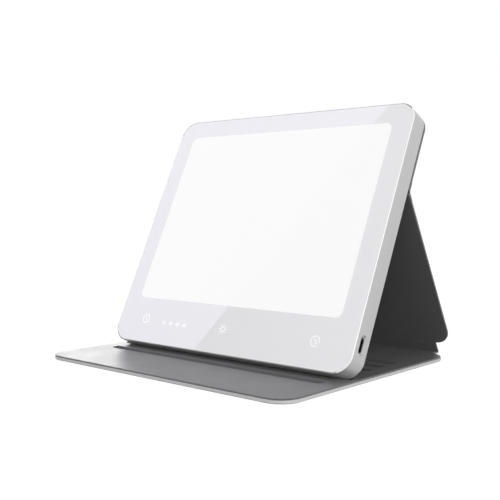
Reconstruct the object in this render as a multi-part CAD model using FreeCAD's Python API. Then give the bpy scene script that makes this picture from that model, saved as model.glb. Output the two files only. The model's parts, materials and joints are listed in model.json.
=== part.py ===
import FreeCAD, Part
import math
import os

# Light therapy lamp: a slab-shaped lamp on a folding cover that doubles as its stand.
# Millimetres and degrees. The origin is the middle of the base cover's underside, +X runs along
# the lamp's width, +Y points to the back and +Z up. The lamp and its leg are built lying on their
# backs in the lamp's own frame (x across, y up the face, z from the back to the front) and are
# then stood up. The leg is built shut against the lamp's back and is then swung open.

# Lamp slab
LAMP_WIDTH = 207.0
LAMP_HEIGHT = 180.0
LAMP_DEPTH = 14.65
LAMP_TILT = 25.15
LAMP_LIFT = 7.25
CORNER_RADIUS = 11.0
FRONT_CHAMFER = 0.5
REAR_ROUND = 1.2
WALL = 2.2
FLOOR = 1.8
RIB_WIDTH = 1.2
RIB_HEIGHT = 1.2
RIB_PITCH = 26.0
RIBS_EACH_SIDE = 3
RIB_ROWS = 6
PANEL_GLASS = 1.2
PANEL_INSET = 0.7
PANEL_EDGE = 0.25
SEAT_PLAY = 0.1

# Lit window in the front panel
WINDOW_SIDE = 14.65
WINDOW_TOP = 14.35
WINDOW_BOTTOM = 33.6
WINDOW_RADIUS = 4.5
MASK_THICKNESS = 0.15

# Controls printed along the lower border
CONTROL_UP = 17.5
CONTROL_X = (-75.0, -56.3, -49.4, -42.6, -35.9, 0.0, 75.0)

# Charging socket in the right wall
PORT_UP = 20.5
PORT_BEHIND_FACE = 7.0
PORT_RECESS = (12.3, 5.8, 1.2)
SOCKET_SIZE = (8.94, 3.2)
SOCKET_DEPTH = 6.5
SOCKET_SETBACK = 0.4
SOCKET_WALL = 0.3
SOCKET_PLAY = 0.13
TONGUE_SIZE = (6.7, 0.7)
TONGUE_SETBACK = 0.9
INSULATOR_DEPTH = 1.8

# Light engine inside the lamp, heights from the lamp's back
CHASSIS_FLOOR = 7.45
CHASSIS_PLATE = 1.2
CHASSIS_PLAY = 0.3
CHASSIS_TOP = 13.25
SOCKET_BAY_LEFT = 66.0
RACEWAY_LOW = 18.5
RACEWAY_HIGH = 24.5
HOLLOW_COUNT = 5
HOLLOW_WEB = 2.0
GUIDE_HALF = 93.4
GUIDE_BOTTOM = 29.4
GUIDE_TOP = 170.0
GUIDE_THICKNESS = 2.0
REFLECTOR_THICKNESS = 0.3
DIFFUSER_THICKNESS = 1.4
DIFFUSER_GAP = 0.2
LED_BOARD_THICKNESS = 1.0
LED_COUNT = 34
LED_SIZE = (0.7, 2.8, 1.4)
LED_GAP = 0.3

# Boards and screws
BOARD_THICKNESS = 1.6
BOARD_LEFT = 52.0
BOARD_RIGHT = 100.2
BOARD_LOW = 8.5
BOARD_HIGH = 58.0
TOUCH_HALF = 93.5
TOUCH_LOW = 5.5
TOUCH_HIGH = 26.5
TOUCH_BACK = 11.45
TOUCH_THICKNESS = 1.0
ICON_LED = (1.6, 0.9, 0.6)
FLEX_THICKNESS = 0.3
FLEX_X = (76.0, 84.0)
FLEX_BEND_UP = 20.0
FLEX_LAP = 6.0
LEAD_WIDTH = 2.0
LEAD_UP = 21.0
LEAD_LAP = 2.0
LEAD_DROP_X = 70.0
BOSS_RADIUS = 3.2
POST_SIDES = 12
SCREW_RADIUS = 1.0
SCREW_HEAD_RADIUS = 1.9
SCREW_HEAD = 1.0
SCREW_PLAY = 0.1
FRAME_SCREW_X = (-84.0, 0.0, 84.0)
FRAME_SCREW_Y = (72.0, 150.0)
FRAME_SCREW_TIP_GAP = 1.0
BOARD_SCREWS = ((57.0, 52.0), (95.0, 52.0), (57.0, 14.0))
BOARD_SCREW_TIP_GAP = 0.2

# Driver parts on the main board: the coil as (x, y, radius, height), the moulded chips and
# capacitors as (x, y, length, width, height)
COIL = (76.0, 46.0, 4.0, 1.2)
CHIPS = ((64.0, 32.0, 6.0, 6.0, 1.0), (80.0, 34.0, 4.0, 4.0, 0.9),
         (88.0, 44.0, 3.2, 2.5, 1.2), (92.0, 31.0, 3.2, 2.5, 1.2))

# Folding cover: the panel bonded to the lamp's back and the leg below it
SKIN = 0.5
STIFFENER = 0.8
LINING = 0.4
PANEL_THICKNESS = SKIN + STIFFENER + LINING
SKIN_INSET = 0.15
SKIN_RIM = 1.0
FOLD_UP = 124.5
FOLD_CLEARANCE = 0.15
FOLD_GAP = 0.25
LEG_LENGTH = 118.0
SPINE_ON_LEG = 7.8
SPINE_ON_BASE = 7.5
SPINE_HALF = 92.0
SPINE_THICKNESS = 1.2
SPINE_TONGUE = 8.0
CREASE_GAP = 0.15

# Base cover
BASE_DEPTH = 179.2
BASE_RADIUS = 13.5
BASE_PLATE = 2.1
BASE_LINING = 1.0
BASE_EDGE_BEVEL = 0.6
LINING_INSET = 0.25
LINING_BEVEL = 0.3
GROOVE_WIDTH = 5.6
GROOVE_HALF = 92.0
GROOVE_FLOOR = 1.2
GROOVE_SKIN = 0.6
GROOVE_LIP = 0.45
SEAT_HALF = 99.6
SEAT_WIDTH = 6.0
SEAT_FROM_BACK = 1.7
FRONT_GROOVE_STEP = 18.0
REAR_GROOVE_STEP = 15.0
REAR_GROOVE_COUNT = 4

# Holding magnets
MAGNET = (20.0, 4.0, 1.1)
MAGNET_X = 60.0
MAGNET_FROM_EDGE = 5.0

X_AXIS = FreeCAD.Vector(1, 0, 0)
ORIGIN = FreeCAD.Vector(0, 0, 0)
SHORTEST_EDGE = 1e-4
OVERCUT = 1.0
HALF_WIDTH = LAMP_WIDTH / 2
BASE_TOP = BASE_PLATE + BASE_LINING
TILT = math.radians(LAMP_TILT)
OUTER_OFFSET = PANEL_THICKNESS + FOLD_CLEARANCE
PANEL_BACK = LAMP_DEPTH - PANEL_GLASS
CHASSIS_HALF = HALF_WIDTH - WALL - CHASSIS_PLAY
CHASSIS_LOW = WALL + CHASSIS_PLAY
CHASSIS_RADIUS = CORNER_RADIUS - WALL - CHASSIS_PLAY
STACK_BACK = CHASSIS_FLOOR + CHASSIS_PLATE
GUIDE_BACK = STACK_BACK + REFLECTOR_THICKNESS
GUIDE_FRONT = GUIDE_BACK + GUIDE_THICKNESS
LED_BOARD_INNER = GUIDE_HALF + LED_GAP + LED_SIZE[0]
LED_BOARD_OUTER = LED_BOARD_INNER + LED_BOARD_THICKNESS
LEAD_REACH = LED_BOARD_OUTER + LED_GAP
PORT_HEIGHT = LAMP_DEPTH - PORT_BEHIND_FACE
SOCKET_MOUTH = HALF_WIDTH - PORT_RECESS[2] - SOCKET_SETBACK
BOARD_TOP = PORT_HEIGHT - SOCKET_SIZE[1] / 2
BOARD_BACK = BOARD_TOP - BOARD_THICKNESS

# Stand geometry: the leg's reach and the height of the fold settle how far the leg leans.
LEG_REACH = LEG_LENGTH + SPINE_ON_LEG
FOLD_HEIGHT = (LAMP_LIFT + FOLD_UP * math.cos(TILT)
               - (LAMP_DEPTH + OUTER_OFFSET) * math.sin(TILT))
LEG_LEAN = (math.atan2(OUTER_OFFSET, LEG_REACH)
            + math.acos((FOLD_HEIGHT - BASE_TOP) / math.hypot(LEG_REACH, OUTER_OFFSET)))
CREASE_Y = BASE_DEPTH / 2 + SPINE_ON_BASE
FOLD_Y = CREASE_Y - LEG_REACH * math.sin(LEG_LEAN) + OUTER_OFFSET * math.cos(LEG_LEAN)
FOOT_Y = FOLD_Y - FOLD_UP * math.sin(TILT) - (LAMP_DEPTH + OUTER_OFFSET) * math.cos(TILT)
SEAT_Y = FOOT_Y + (LAMP_DEPTH - SEAT_FROM_BACK) * math.cos(TILT)


def box(x_low, x_high, y_low, y_high, z_low, z_high):
    """Plain block between two opposite corners."""
    return Part.makeBox(x_high - x_low, y_high - y_low, z_high - z_low,
                        FreeCAD.Vector(x_low, y_low, z_low))


def post(x, y, radius, z_low, z_high):
    """Upright twelve-sided post, for the small fasteners and bosses that repeat."""
    corners = []
    for number in range(POST_SIDES + 1):
        turn = 2 * math.pi * number / POST_SIDES
        corners.append(FreeCAD.Vector(x + radius * math.cos(turn), y + radius * math.sin(turn), z_low))
    face = Part.Face(Part.makePolygon(corners))
    return face.extrude(FreeCAD.Vector(0, 0, z_high - z_low))


def quarter_arc(centre_x, centre_y, radius, start):
    """Counter-clockwise quarter circle that begins at the angle start."""
    points = []
    for angle in (start, start + 45, start + 90):
        turn = math.radians(angle)
        points.append(FreeCAD.Vector(centre_x + radius * math.cos(turn),
                                     centre_y + radius * math.sin(turn), 0))
    return Part.Arc(*points).toShape()


def rounded_outline(half, y_low, y_high, low_radius, high_radius):
    """Counter-clockwise rectangle about x = 0 with its own radius at each end."""
    corners = ((half, y_low, low_radius, -90), (half, y_high, high_radius, 0),
               (-half, y_high, high_radius, 90), (-half, y_low, low_radius, 180))
    arcs = []
    ends = []
    for x, y, radius, start in corners:
        if radius > 0:
            centre_x = x - math.copysign(radius, x)
            centre_y = y + radius if y == y_low else y - radius
            arc = quarter_arc(centre_x, centre_y, radius, start)
            arcs.append(arc)
            ends.append((arc.valueAt(arc.FirstParameter), arc.valueAt(arc.LastParameter)))
        else:
            corner = FreeCAD.Vector(x, y, 0)
            ends.append((corner, corner))
    sides = []
    for number, (_, leave) in enumerate(ends):
        arrive = ends[(number + 1) % len(ends)][0]
        if leave.distanceToPoint(arrive) > SHORTEST_EDGE:
            sides.append(Part.LineSegment(leave, arrive).toShape())
    return Part.Wire(Part.sortEdges(arcs + sides)[0])


def slab(half, y_low, y_high, z_low, z_high, low_radius=0.0, high_radius=0.0):
    """Flat plate with rounded corners, centred on x = 0."""
    outline = rounded_outline(half, y_low, y_high, low_radius, high_radius)
    plate = Part.Face(outline).extrude(FreeCAD.Vector(0, 0, z_high - z_low))
    plate.translate(FreeCAD.Vector(0, 0, z_low))
    return plate


def lamp_slab(inset, z_low, z_high):
    """Plate with the lamp's outline, drawn in by inset all round."""
    radius = CORNER_RADIUS - inset
    return slab(HALF_WIDTH - inset, inset, LAMP_HEIGHT - inset, z_low, z_high, radius, radius)


def stadium(half, width, centre_y, z_low, z_high):
    """Bar along X with fully round ends."""
    return slab(half, centre_y - width / 2, centre_y + width / 2, z_low, z_high,
                width / 2, width / 2)


def edges_at(shape, height):
    """Edges that lie wholly at one height."""
    tolerance = 1e-6
    found = []
    for edge in shape.Edges:
        bounds = edge.BoundBox
        if abs(bounds.ZMin - height) < tolerance and abs(bounds.ZMax - height) < tolerance:
            found.append(edge)
    return found


def fuse_all(shapes):
    """One clean solid from shapes that touch."""
    return shapes[0].multiFuse(shapes[1:]).removeSplitter()


def side_stadium(length, width, x_low, x_high):
    """Round-ended bar along X whose long section side runs up the lamp, at the socket."""
    bar = slab(length / 2, -width / 2, width / 2, 0, x_high - x_low, width / 2, width / 2)
    bar.rotate(ORIGIN, FreeCAD.Vector(0, 0, 1), 90)
    bar.rotate(ORIGIN, FreeCAD.Vector(0, 1, 0), 90)
    bar.translate(FreeCAD.Vector(x_low, PORT_UP, PORT_HEIGHT))
    return bar


def frame_screw_places():
    """Centres of the screws that hold the chassis in the tray."""
    return [(x, y) for x in FRAME_SCREW_X for y in FRAME_SCREW_Y]


def rib_grid():
    """Low ribs both ways across the tray's floor."""
    reach_x = HALF_WIDTH - WALL
    reach_y = LAMP_HEIGHT - WALL
    top = FLOOR + RIB_HEIGHT
    ribs = []
    for number in range(-RIBS_EACH_SIDE, RIBS_EACH_SIDE + 1):
        x = number * RIB_PITCH
        ribs.append(box(x - RIB_WIDTH / 2, x + RIB_WIDTH / 2, WALL, reach_y, FLOOR, top))
    for number in range(1, RIB_ROWS + 1):
        y = number * RIB_PITCH
        ribs.append(box(-reach_x, reach_x, y - RIB_WIDTH / 2, y + RIB_WIDTH / 2, FLOOR, top))
    return ribs


def rear_housing():
    """Moulded tray: floor, walls, rib grid, screw bosses and the socket's recess."""
    body = lamp_slab(0, 0, LAMP_DEPTH)
    body = body.makeFillet(REAR_ROUND, edges_at(body, 0))
    body = body.makeChamfer(FRONT_CHAMFER, edges_at(body, LAMP_DEPTH))
    body = body.cut(lamp_slab(WALL, FLOOR, LAMP_DEPTH))
    body = body.cut(lamp_slab(PANEL_INSET - SEAT_PLAY, PANEL_BACK, LAMP_DEPTH))

    features = rib_grid()
    for x, y in frame_screw_places():
        features.append(post(x, y, BOSS_RADIUS, FLOOR, CHASSIS_FLOOR - CHASSIS_PLATE))
    for x, y in BOARD_SCREWS:
        features.append(post(x, y, BOSS_RADIUS, FLOOR, BOARD_BACK))
    body = fuse_all([body] + features)

    pilot = SCREW_RADIUS + SCREW_PLAY / 2
    for x, y in frame_screw_places() + list(BOARD_SCREWS):
        body = body.cut(post(x, y, pilot, FLOOR, LAMP_DEPTH))
    recess_length, recess_width, recess_depth = PORT_RECESS
    recess_floor = HALF_WIDTH - recess_depth
    body = body.cut(side_stadium(recess_length, recess_width, recess_floor, HALF_WIDTH + OVERCUT))
    body = body.cut(side_stadium(SOCKET_SIZE[0] + 2 * SOCKET_PLAY, SOCKET_SIZE[1] + 2 * SOCKET_PLAY,
                                 HALF_WIDTH - WALL - OVERCUT, recess_floor))
    return body


def front_panel():
    """Clear acrylic front with a fine eased edge."""
    panel = lamp_slab(PANEL_INSET, PANEL_BACK, LAMP_DEPTH)
    return panel.makeChamfer(PANEL_EDGE, edges_at(panel, LAMP_DEPTH))


def window_slab(z_low, z_high):
    """Plate with the lit window's outline."""
    return slab(HALF_WIDTH - WINDOW_SIDE, WINDOW_BOTTOM, LAMP_HEIGHT - WINDOW_TOP,
                z_low, z_high, WINDOW_RADIUS, WINDOW_RADIUS)


def bezel_mask():
    """Pale printed film behind the front panel, open at the window."""
    back = PANEL_BACK - MASK_THICKNESS
    film_inset = WALL + SEAT_PLAY
    return lamp_slab(film_inset, back, PANEL_BACK).cut(window_slab(back, PANEL_BACK))


def chassis_pockets():
    """Beds for the light engine and the touch board, the socket bay and the lead raceways."""
    engine_bed = box(-LED_BOARD_OUTER, LED_BOARD_OUTER, GUIDE_BOTTOM - LED_GAP, GUIDE_TOP + LED_GAP,
                     STACK_BACK, CHASSIS_TOP)
    touch_bed = box(-TOUCH_HALF - LED_GAP, TOUCH_HALF + LED_GAP, TOUCH_LOW - LED_GAP,
                    TOUCH_HIGH + LED_GAP, TOUCH_BACK, CHASSIS_TOP)
    socket_bay = box(SOCKET_BAY_LEFT, HALF_WIDTH, BOARD_LOW, TOUCH_HIGH - LED_GAP,
                     CHASSIS_FLOOR, TOUCH_BACK)
    raceway = box(-LEAD_REACH, SOCKET_BAY_LEFT, RACEWAY_LOW, RACEWAY_HIGH, STACK_BACK, TOUCH_BACK)
    left_notch = box(-LEAD_REACH, -TOUCH_HALF, RACEWAY_LOW, GUIDE_BOTTOM, STACK_BACK, TOUCH_BACK)
    right_notch = box(TOUCH_HALF, LEAD_REACH, RACEWAY_HIGH, GUIDE_BOTTOM, CHASSIS_FLOOR, TOUCH_BACK)
    return [engine_bed, touch_bed, socket_bay, raceway, left_notch, right_notch]


def chassis_hollows():
    """Row of weight-saving hollows under the touch board, with a web between neighbours."""
    span = (SOCKET_BAY_LEFT + TOUCH_HALF) / HOLLOW_COUNT
    hollows = []
    for number in range(HOLLOW_COUNT):
        left = -TOUCH_HALF + number * span
        hollows.append(box(left + HOLLOW_WEB / 2, left + span - HOLLOW_WEB / 2,
                           TOUCH_LOW + HOLLOW_WEB, RACEWAY_LOW - HOLLOW_WEB,
                           STACK_BACK, TOUCH_BACK))
    return hollows


def chassis():
    """Inner frame: a plate with a raised rim that carries the light engine and the boards."""
    plate = slab(CHASSIS_HALF, CHASSIS_LOW, LAMP_HEIGHT - CHASSIS_LOW, CHASSIS_FLOOR, CHASSIS_TOP,
                 CHASSIS_RADIUS, CHASSIS_RADIUS)
    for pocket in chassis_pockets() + chassis_hollows():
        plate = plate.cut(pocket)
    for x in (-MAGNET_X, MAGNET_X):
        plate = plate.cut(magnet_block(x, LAMP_HEIGHT - MAGNET_FROM_EDGE,
                                       CHASSIS_TOP - MAGNET[2], CHASSIS_TOP))
    posts = []
    for x, y in frame_screw_places():
        posts.append(post(x, y, BOSS_RADIUS, CHASSIS_FLOOR - CHASSIS_PLATE, CHASSIS_FLOOR))
    plate = fuse_all([plate] + posts)
    for x, y in frame_screw_places():
        plate = plate.cut(post(x, y, SCREW_RADIUS + SCREW_PLAY, CHASSIS_FLOOR - CHASSIS_PLATE,
                               STACK_BACK))
        plate = plate.cut(post(x, y, SCREW_HEAD_RADIUS + SCREW_PLAY, CHASSIS_FLOOR, STACK_BACK))
    return plate


def screws(places, seat, length):
    """Pan-head screws that stand with their heads on the height seat."""
    group = []
    for x, y in places:
        head = post(x, y, SCREW_HEAD_RADIUS, seat, seat + SCREW_HEAD)
        shank = post(x, y, SCREW_RADIUS, seat - length, seat)
        group.append(fuse_all([head, shank]))
    return Part.makeCompound(group)


def frame_screws():
    """Screws that hold the chassis down on the tray's bosses."""
    return screws(frame_screw_places(), CHASSIS_FLOOR, CHASSIS_FLOOR - FLOOR - FRAME_SCREW_TIP_GAP)


def board_screws():
    """Screws that hold the main board."""
    return screws(BOARD_SCREWS, BOARD_TOP, BOARD_TOP - FLOOR - BOARD_SCREW_TIP_GAP)


def light_guide():
    """Clear plate that carries the light inwards from its two ends."""
    return box(-GUIDE_HALF, GUIDE_HALF, GUIDE_BOTTOM, GUIDE_TOP, GUIDE_BACK, GUIDE_FRONT)


def reflector_sheet():
    """White sheet behind the light guide."""
    return box(-GUIDE_HALF, GUIDE_HALF, GUIDE_BOTTOM, GUIDE_TOP, STACK_BACK, GUIDE_BACK)


def diffuser_sheet():
    """Milky sheet in front of the light guide, behind the window."""
    back = GUIDE_FRONT + DIFFUSER_GAP
    return box(-GUIDE_HALF, GUIDE_HALF, GUIDE_BOTTOM, GUIDE_TOP, back, back + DIFFUSER_THICKNESS)


def led_boards():
    """Two narrow boards on edge, one beside each end of the light guide."""
    strips = []
    for side in (-1, 1):
        inner = side * LED_BOARD_INNER
        outer = side * LED_BOARD_OUTER
        strips.append(box(min(inner, outer), max(inner, outer), GUIDE_BOTTOM, GUIDE_TOP,
                          STACK_BACK, GUIDE_FRONT))
    return Part.makeCompound(strips)


def led_chips():
    """A row of LEDs along each board, facing the guide's edge."""
    depth, length, height = LED_SIZE
    pitch = (GUIDE_TOP - GUIDE_BOTTOM) / LED_COUNT
    middle = (GUIDE_BACK + GUIDE_FRONT) / 2
    chips = []
    for side in (-1, 1):
        x_face = side * (LED_BOARD_INNER - depth)
        x_low = min(x_face, side * LED_BOARD_INNER)
        for number in range(LED_COUNT):
            y = GUIDE_BOTTOM + (number + 0.5) * pitch
            chips.append(box(x_low, x_low + depth, y - length / 2, y + length / 2,
                             middle - height / 2, middle + height / 2))
    return Part.makeCompound(chips)


def main_board():
    """Driver board behind the lower right of the light engine."""
    board = box(BOARD_LEFT, BOARD_RIGHT, BOARD_LOW, BOARD_HIGH, BOARD_BACK, BOARD_TOP)
    for x, y in BOARD_SCREWS:
        board = board.cut(post(x, y, SCREW_RADIUS + SCREW_PLAY, BOARD_BACK, BOARD_TOP))
    return board


def driver_parts():
    """Coil, driver chip, controller and capacitors soldered on the main board."""
    coil_x, coil_y, coil_radius, coil_height = COIL
    group = [post(coil_x, coil_y, coil_radius, BOARD_TOP, BOARD_TOP + coil_height)]
    for x, y, length, width, height in CHIPS:
        group.append(box(x - length / 2, x + length / 2, y - width / 2, y + width / 2,
                         BOARD_TOP, BOARD_TOP + height))
    return Part.makeCompound(group)


def usb_c_shell():
    """Drawn metal shell of the charging socket."""
    length, width = SOCKET_SIZE
    back = SOCKET_MOUTH - SOCKET_DEPTH
    outer = side_stadium(length, width, back, SOCKET_MOUTH)
    inner = side_stadium(length - 2 * SOCKET_WALL, width - 2 * SOCKET_WALL, back, SOCKET_MOUTH)
    return outer.cut(inner)


def usb_c_tongue():
    """Insulator that closes the socket's back and carries the contact tongue."""
    length, width = SOCKET_SIZE
    tongue_length, tongue_width = TONGUE_SIZE
    back = SOCKET_MOUTH - SOCKET_DEPTH
    plug = side_stadium(length - 2 * SOCKET_WALL, width - 2 * SOCKET_WALL,
                        back, back + INSULATOR_DEPTH)
    tongue = box(back, SOCKET_MOUTH - TONGUE_SETBACK,
                 PORT_UP - tongue_length / 2, PORT_UP + tongue_length / 2,
                 PORT_HEIGHT - tongue_width / 2, PORT_HEIGHT + tongue_width / 2)
    return fuse_all([plug, tongue])


def touch_board():
    """Sensing board behind the printed controls."""
    return box(-TOUCH_HALF, TOUCH_HALF, TOUCH_LOW, TOUCH_HIGH, TOUCH_BACK, TOUCH_BACK + TOUCH_THICKNESS)


def icon_leds():
    """Small LEDs that light the printed controls from behind."""
    length, width, height = ICON_LED
    front = TOUCH_BACK + TOUCH_THICKNESS
    group = []
    for x in CONTROL_X:
        group.append(box(x - length / 2, x + length / 2, CONTROL_UP - width / 2,
                         CONTROL_UP + width / 2, front, front + height))
    return Part.makeCompound(group)


def touch_flex():
    """Flat flexible lead from the touch board down to the main board."""
    left, right = FLEX_X
    under = TOUCH_BACK - FLEX_THICKNESS
    over = BOARD_TOP + FLEX_THICKNESS
    foot = FLEX_BEND_UP - FLEX_THICKNESS
    return fuse_all([box(left, right, FLEX_BEND_UP - FLEX_LAP, FLEX_BEND_UP, under, TOUCH_BACK),
                     box(left, right, foot, FLEX_BEND_UP, BOARD_TOP, under),
                     box(left, right, foot, FLEX_BEND_UP + FLEX_LAP, BOARD_TOP, over)])


def led_leads():
    """Flat leads on edge, from the foot of each LED board down to the main board."""
    low = GUIDE_BACK
    high = low + LEAD_WIDTH
    x = LED_BOARD_INNER + LED_BOARD_THICKNESS / 2
    half = FLEX_THICKNESS / 2
    left = fuse_all([box(-x - half, -x + half, LEAD_UP, GUIDE_BOTTOM, low, high),
                     box(-x - half, LEAD_DROP_X, LEAD_UP, LEAD_UP + FLEX_THICKNESS, low, high),
                     box(LEAD_DROP_X - LEAD_WIDTH, LEAD_DROP_X, LEAD_UP, LEAD_UP + FLEX_THICKNESS,
                         BOARD_TOP, low)])
    right_low = RACEWAY_HIGH - LEAD_LAP
    right = fuse_all([box(x - half, x + half, right_low, GUIDE_BOTTOM, low, high),
                      box(x - half, x + half, right_low, right_low + LEAD_WIDTH, BOARD_TOP, low)])
    return Part.makeCompound([left, right])


def magnet_block(x, y, z_low, z_high):
    """Bar magnet, or the pocket for one, about the point x, y."""
    length, width, _ = MAGNET
    return box(x - length / 2, x + length / 2, y - width / 2, y + width / 2, z_low, z_high)


def lamp_magnets():
    """Bar magnets under the top border that hold the cover shut."""
    y = LAMP_HEIGHT - MAGNET_FROM_EDGE
    return Part.makeCompound([magnet_block(x, y, CHASSIS_TOP - MAGNET[2], CHASSIS_TOP)
                              for x in (-MAGNET_X, MAGNET_X)])


def panel_outline(inset, z_low, z_high):
    """Upper panel's outline: the lamp's own above, square along the fold."""
    margin = SKIN_INSET + inset
    low = FOLD_UP + FOLD_GAP + inset
    return slab(HALF_WIDTH - margin, low, LAMP_HEIGHT - margin, z_low, z_high,
                0.0, CORNER_RADIUS - margin)


def leg_outline(inset, z_low, z_high):
    """Leg's outline: square along the fold, rounded at its lower corners."""
    low = FOLD_UP - LEG_LENGTH + inset
    high = FOLD_UP - FOLD_GAP - inset
    return slab(HALF_WIDTH - SKIN_INSET - inset, low, high, z_low, z_high,
                CORNER_RADIUS - inset, 0.0)


def panel_adhesive():
    """Tape that bonds the upper panel to the lamp's back."""
    return panel_outline(SKIN_RIM, -LINING, 0)


def panel_board():
    """Stiff board inside the upper panel."""
    return panel_outline(SKIN_RIM, -LINING - STIFFENER, -LINING)


def panel_skin():
    """Outer covering of the upper panel, turned in round the board."""
    return panel_outline(0, -PANEL_THICKNESS, 0).cut(panel_outline(SKIN_RIM, -LINING - STIFFENER, 0))


def tongue_slab(reach, z_low, z_high):
    """Part of the spine that is bonded into the leg's lower end."""
    low = FOLD_UP - LEG_LENGTH
    return slab(SPINE_HALF, low, low + reach, z_low, z_high)


def leg_board():
    """Stiff board inside the leg, notched for the spine's tongue."""
    board = leg_outline(SKIN_RIM, -LINING - STIFFENER, -LINING)
    return board.cut(tongue_slab(SPINE_TONGUE, -LINING - STIFFENER, -LINING))


def leg_skin():
    """Outer covering of the leg, turned in round the board."""
    body = leg_outline(0, -PANEL_THICKNESS, -LINING)
    body = body.cut(leg_outline(SKIN_RIM, -LINING - STIFFENER, -LINING))
    return body.cut(tongue_slab(SKIN_RIM, -LINING - STIFFENER, -LINING))


def leg_lining():
    """Inner covering of the leg, the side that faces the lamp's back."""
    return leg_outline(0, -LINING, 0)


def hinge_strip_upper():
    """Soft spine between the crease and the leg, bonded in between skin and lining."""
    low = FOLD_UP - LEG_LENGTH
    strip = slab(SPINE_HALF, low - SPINE_ON_LEG + CREASE_GAP, low, -SPINE_THICKNESS, 0)
    return fuse_all([strip, tongue_slab(SPINE_TONGUE, -LINING - STIFFENER, -LINING)])


def hinge_strip_lower():
    """Soft spine between the base and the crease, bonded in under the lining."""
    rear = BASE_DEPTH / 2
    strip = slab(SPINE_HALF, rear, CREASE_Y - CREASE_GAP, BASE_TOP - SPINE_THICKNESS, BASE_TOP)
    return fuse_all([strip, base_tongue()])


def base_tongue():
    """Part of the spine that is bonded into the base plate's rear edge."""
    rear = BASE_DEPTH / 2
    return slab(SPINE_HALF, rear - SPINE_TONGUE, rear, BASE_PLATE - STIFFENER, BASE_PLATE)


def grooves():
    """Each groove as (centre line, half length, width), from front to back."""
    found = [(SEAT_Y - FRONT_GROOVE_STEP, GROOVE_HALF, GROOVE_WIDTH), (SEAT_Y, SEAT_HALF, SEAT_WIDTH)]
    for number in range(1, REAR_GROOVE_COUNT + 1):
        found.append((SEAT_Y + number * REAR_GROOVE_STEP, GROOVE_HALF, GROOVE_WIDTH))
    return found


def groove_trough(groove, z_high):
    """Square-ended slot in the base plate that the lining is pressed into."""
    centre, half, width = groove
    reach = half + GROOVE_SKIN
    half_width = width / 2 + GROOVE_SKIN
    return box(-reach, reach, centre - half_width, centre + half_width,
               GROOVE_FLOOR - GROOVE_SKIN, z_high)


def base_plate():
    """Stiff pale plate with slots for the grooves and pockets for the magnets."""
    half_depth = BASE_DEPTH / 2
    plate = slab(HALF_WIDTH, -half_depth, half_depth, 0, BASE_PLATE, BASE_RADIUS, BASE_RADIUS)
    plate = plate.makeChamfer(BASE_EDGE_BEVEL, edges_at(plate, 0))
    for groove in grooves():
        plate = plate.cut(groove_trough(groove, BASE_PLATE))
    plate = plate.cut(base_tongue())
    for x in (-MAGNET_X, MAGNET_X):
        plate = plate.cut(magnet_block(x, -half_depth + MAGNET_FROM_EDGE,
                                       BASE_PLATE - MAGNET[2], BASE_PLATE))
    return plate


def base_lining():
    """Soft dark lining, pressed down into the plate's slots."""
    half_depth = BASE_DEPTH / 2 - LINING_INSET
    radius = BASE_RADIUS - LINING_INSET
    sheet = slab(HALF_WIDTH - LINING_INSET, -half_depth, half_depth, BASE_PLATE, BASE_TOP,
                 radius, radius)
    sheet = sheet.makeChamfer(LINING_BEVEL, edges_at(sheet, BASE_TOP))
    troughs = [groove_trough(groove, BASE_PLATE) for groove in grooves()]
    sheet = fuse_all([sheet] + troughs)
    for groove in grooves():
        centre, half, width = groove
        sheet = sheet.cut(stadium(half, width, centre, GROOVE_FLOOR, BASE_TOP))
    lips = [edge for edge in edges_at(sheet, BASE_TOP) if edge_is_inner(edge)]
    return sheet.makeChamfer(GROOVE_LIP, lips)


def edge_is_inner(edge):
    """True for an edge round a groove, clear of the lining's outer rim."""
    bounds = edge.BoundBox
    margin = 2 * LINING_INSET + GROOVE_LIP
    reach_x = HALF_WIDTH - margin
    reach_y = BASE_DEPTH / 2 - margin
    return (bounds.XMin > -reach_x and bounds.XMax < reach_x
            and bounds.YMin > -reach_y and bounds.YMax < reach_y)


def cover_magnets():
    """Bar magnets at the base cover's front edge."""
    y = -BASE_DEPTH / 2 + MAGNET_FROM_EDGE
    return Part.makeCompound([magnet_block(x, y, BASE_PLATE - MAGNET[2], BASE_PLATE)
                              for x in (-MAGNET_X, MAGNET_X)])


LAMP_NODES = {
    "rear_housing": rear_housing,
    "front_panel": front_panel,
    "bezel_mask": bezel_mask,
    "chassis": chassis,
    "diffuser_sheet": diffuser_sheet,
    "light_guide": light_guide,
    "reflector_sheet": reflector_sheet,
    "led_boards": led_boards,
    "led_chips": led_chips,
    "main_board": main_board,
    "driver_parts": driver_parts,
    "usb_c_shell": usb_c_shell,
    "usb_c_tongue": usb_c_tongue,
    "touch_board": touch_board,
    "icon_leds": icon_leds,
    "touch_flex": touch_flex,
    "led_leads": led_leads,
    "frame_screws": frame_screws,
    "board_screws": board_screws,
    "lamp_magnets": lamp_magnets,
    "panel_adhesive": panel_adhesive,
    "panel_board": panel_board,
    "panel_skin": panel_skin,
}

LEG_NODES = {
    "leg_board": leg_board,
    "leg_skin": leg_skin,
    "leg_lining": leg_lining,
    "hinge_strip_upper": hinge_strip_upper,
}

BASE_NODES = {
    "base_plate": base_plate,
    "base_lining": base_lining,
    "cover_magnets": cover_magnets,
    "hinge_strip_lower": hinge_strip_lower,
}


def stand_lamp(shape):
    """Stand a shape up from the lamp's own frame."""
    shape.translate(FreeCAD.Vector(0, 0, -LAMP_DEPTH))
    shape.rotate(ORIGIN, X_AXIS, 90 - LAMP_TILT)
    shape.translate(FreeCAD.Vector(0, FOOT_Y, LAMP_LIFT))
    return shape


def swing_leg(shape):
    """Swing a shape out from the lamp's back about the fold, then stand it up."""
    fold = FreeCAD.Vector(0, FOLD_UP, -OUTER_OFFSET)
    shape.rotate(fold, X_AXIS, math.degrees(LEG_LEAN) + LAMP_TILT)
    return stand_lamp(shape)


def write_node(name, shape):
    """Write one node's file."""
    shape.exportStep("parts/" + name + ".step")


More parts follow.
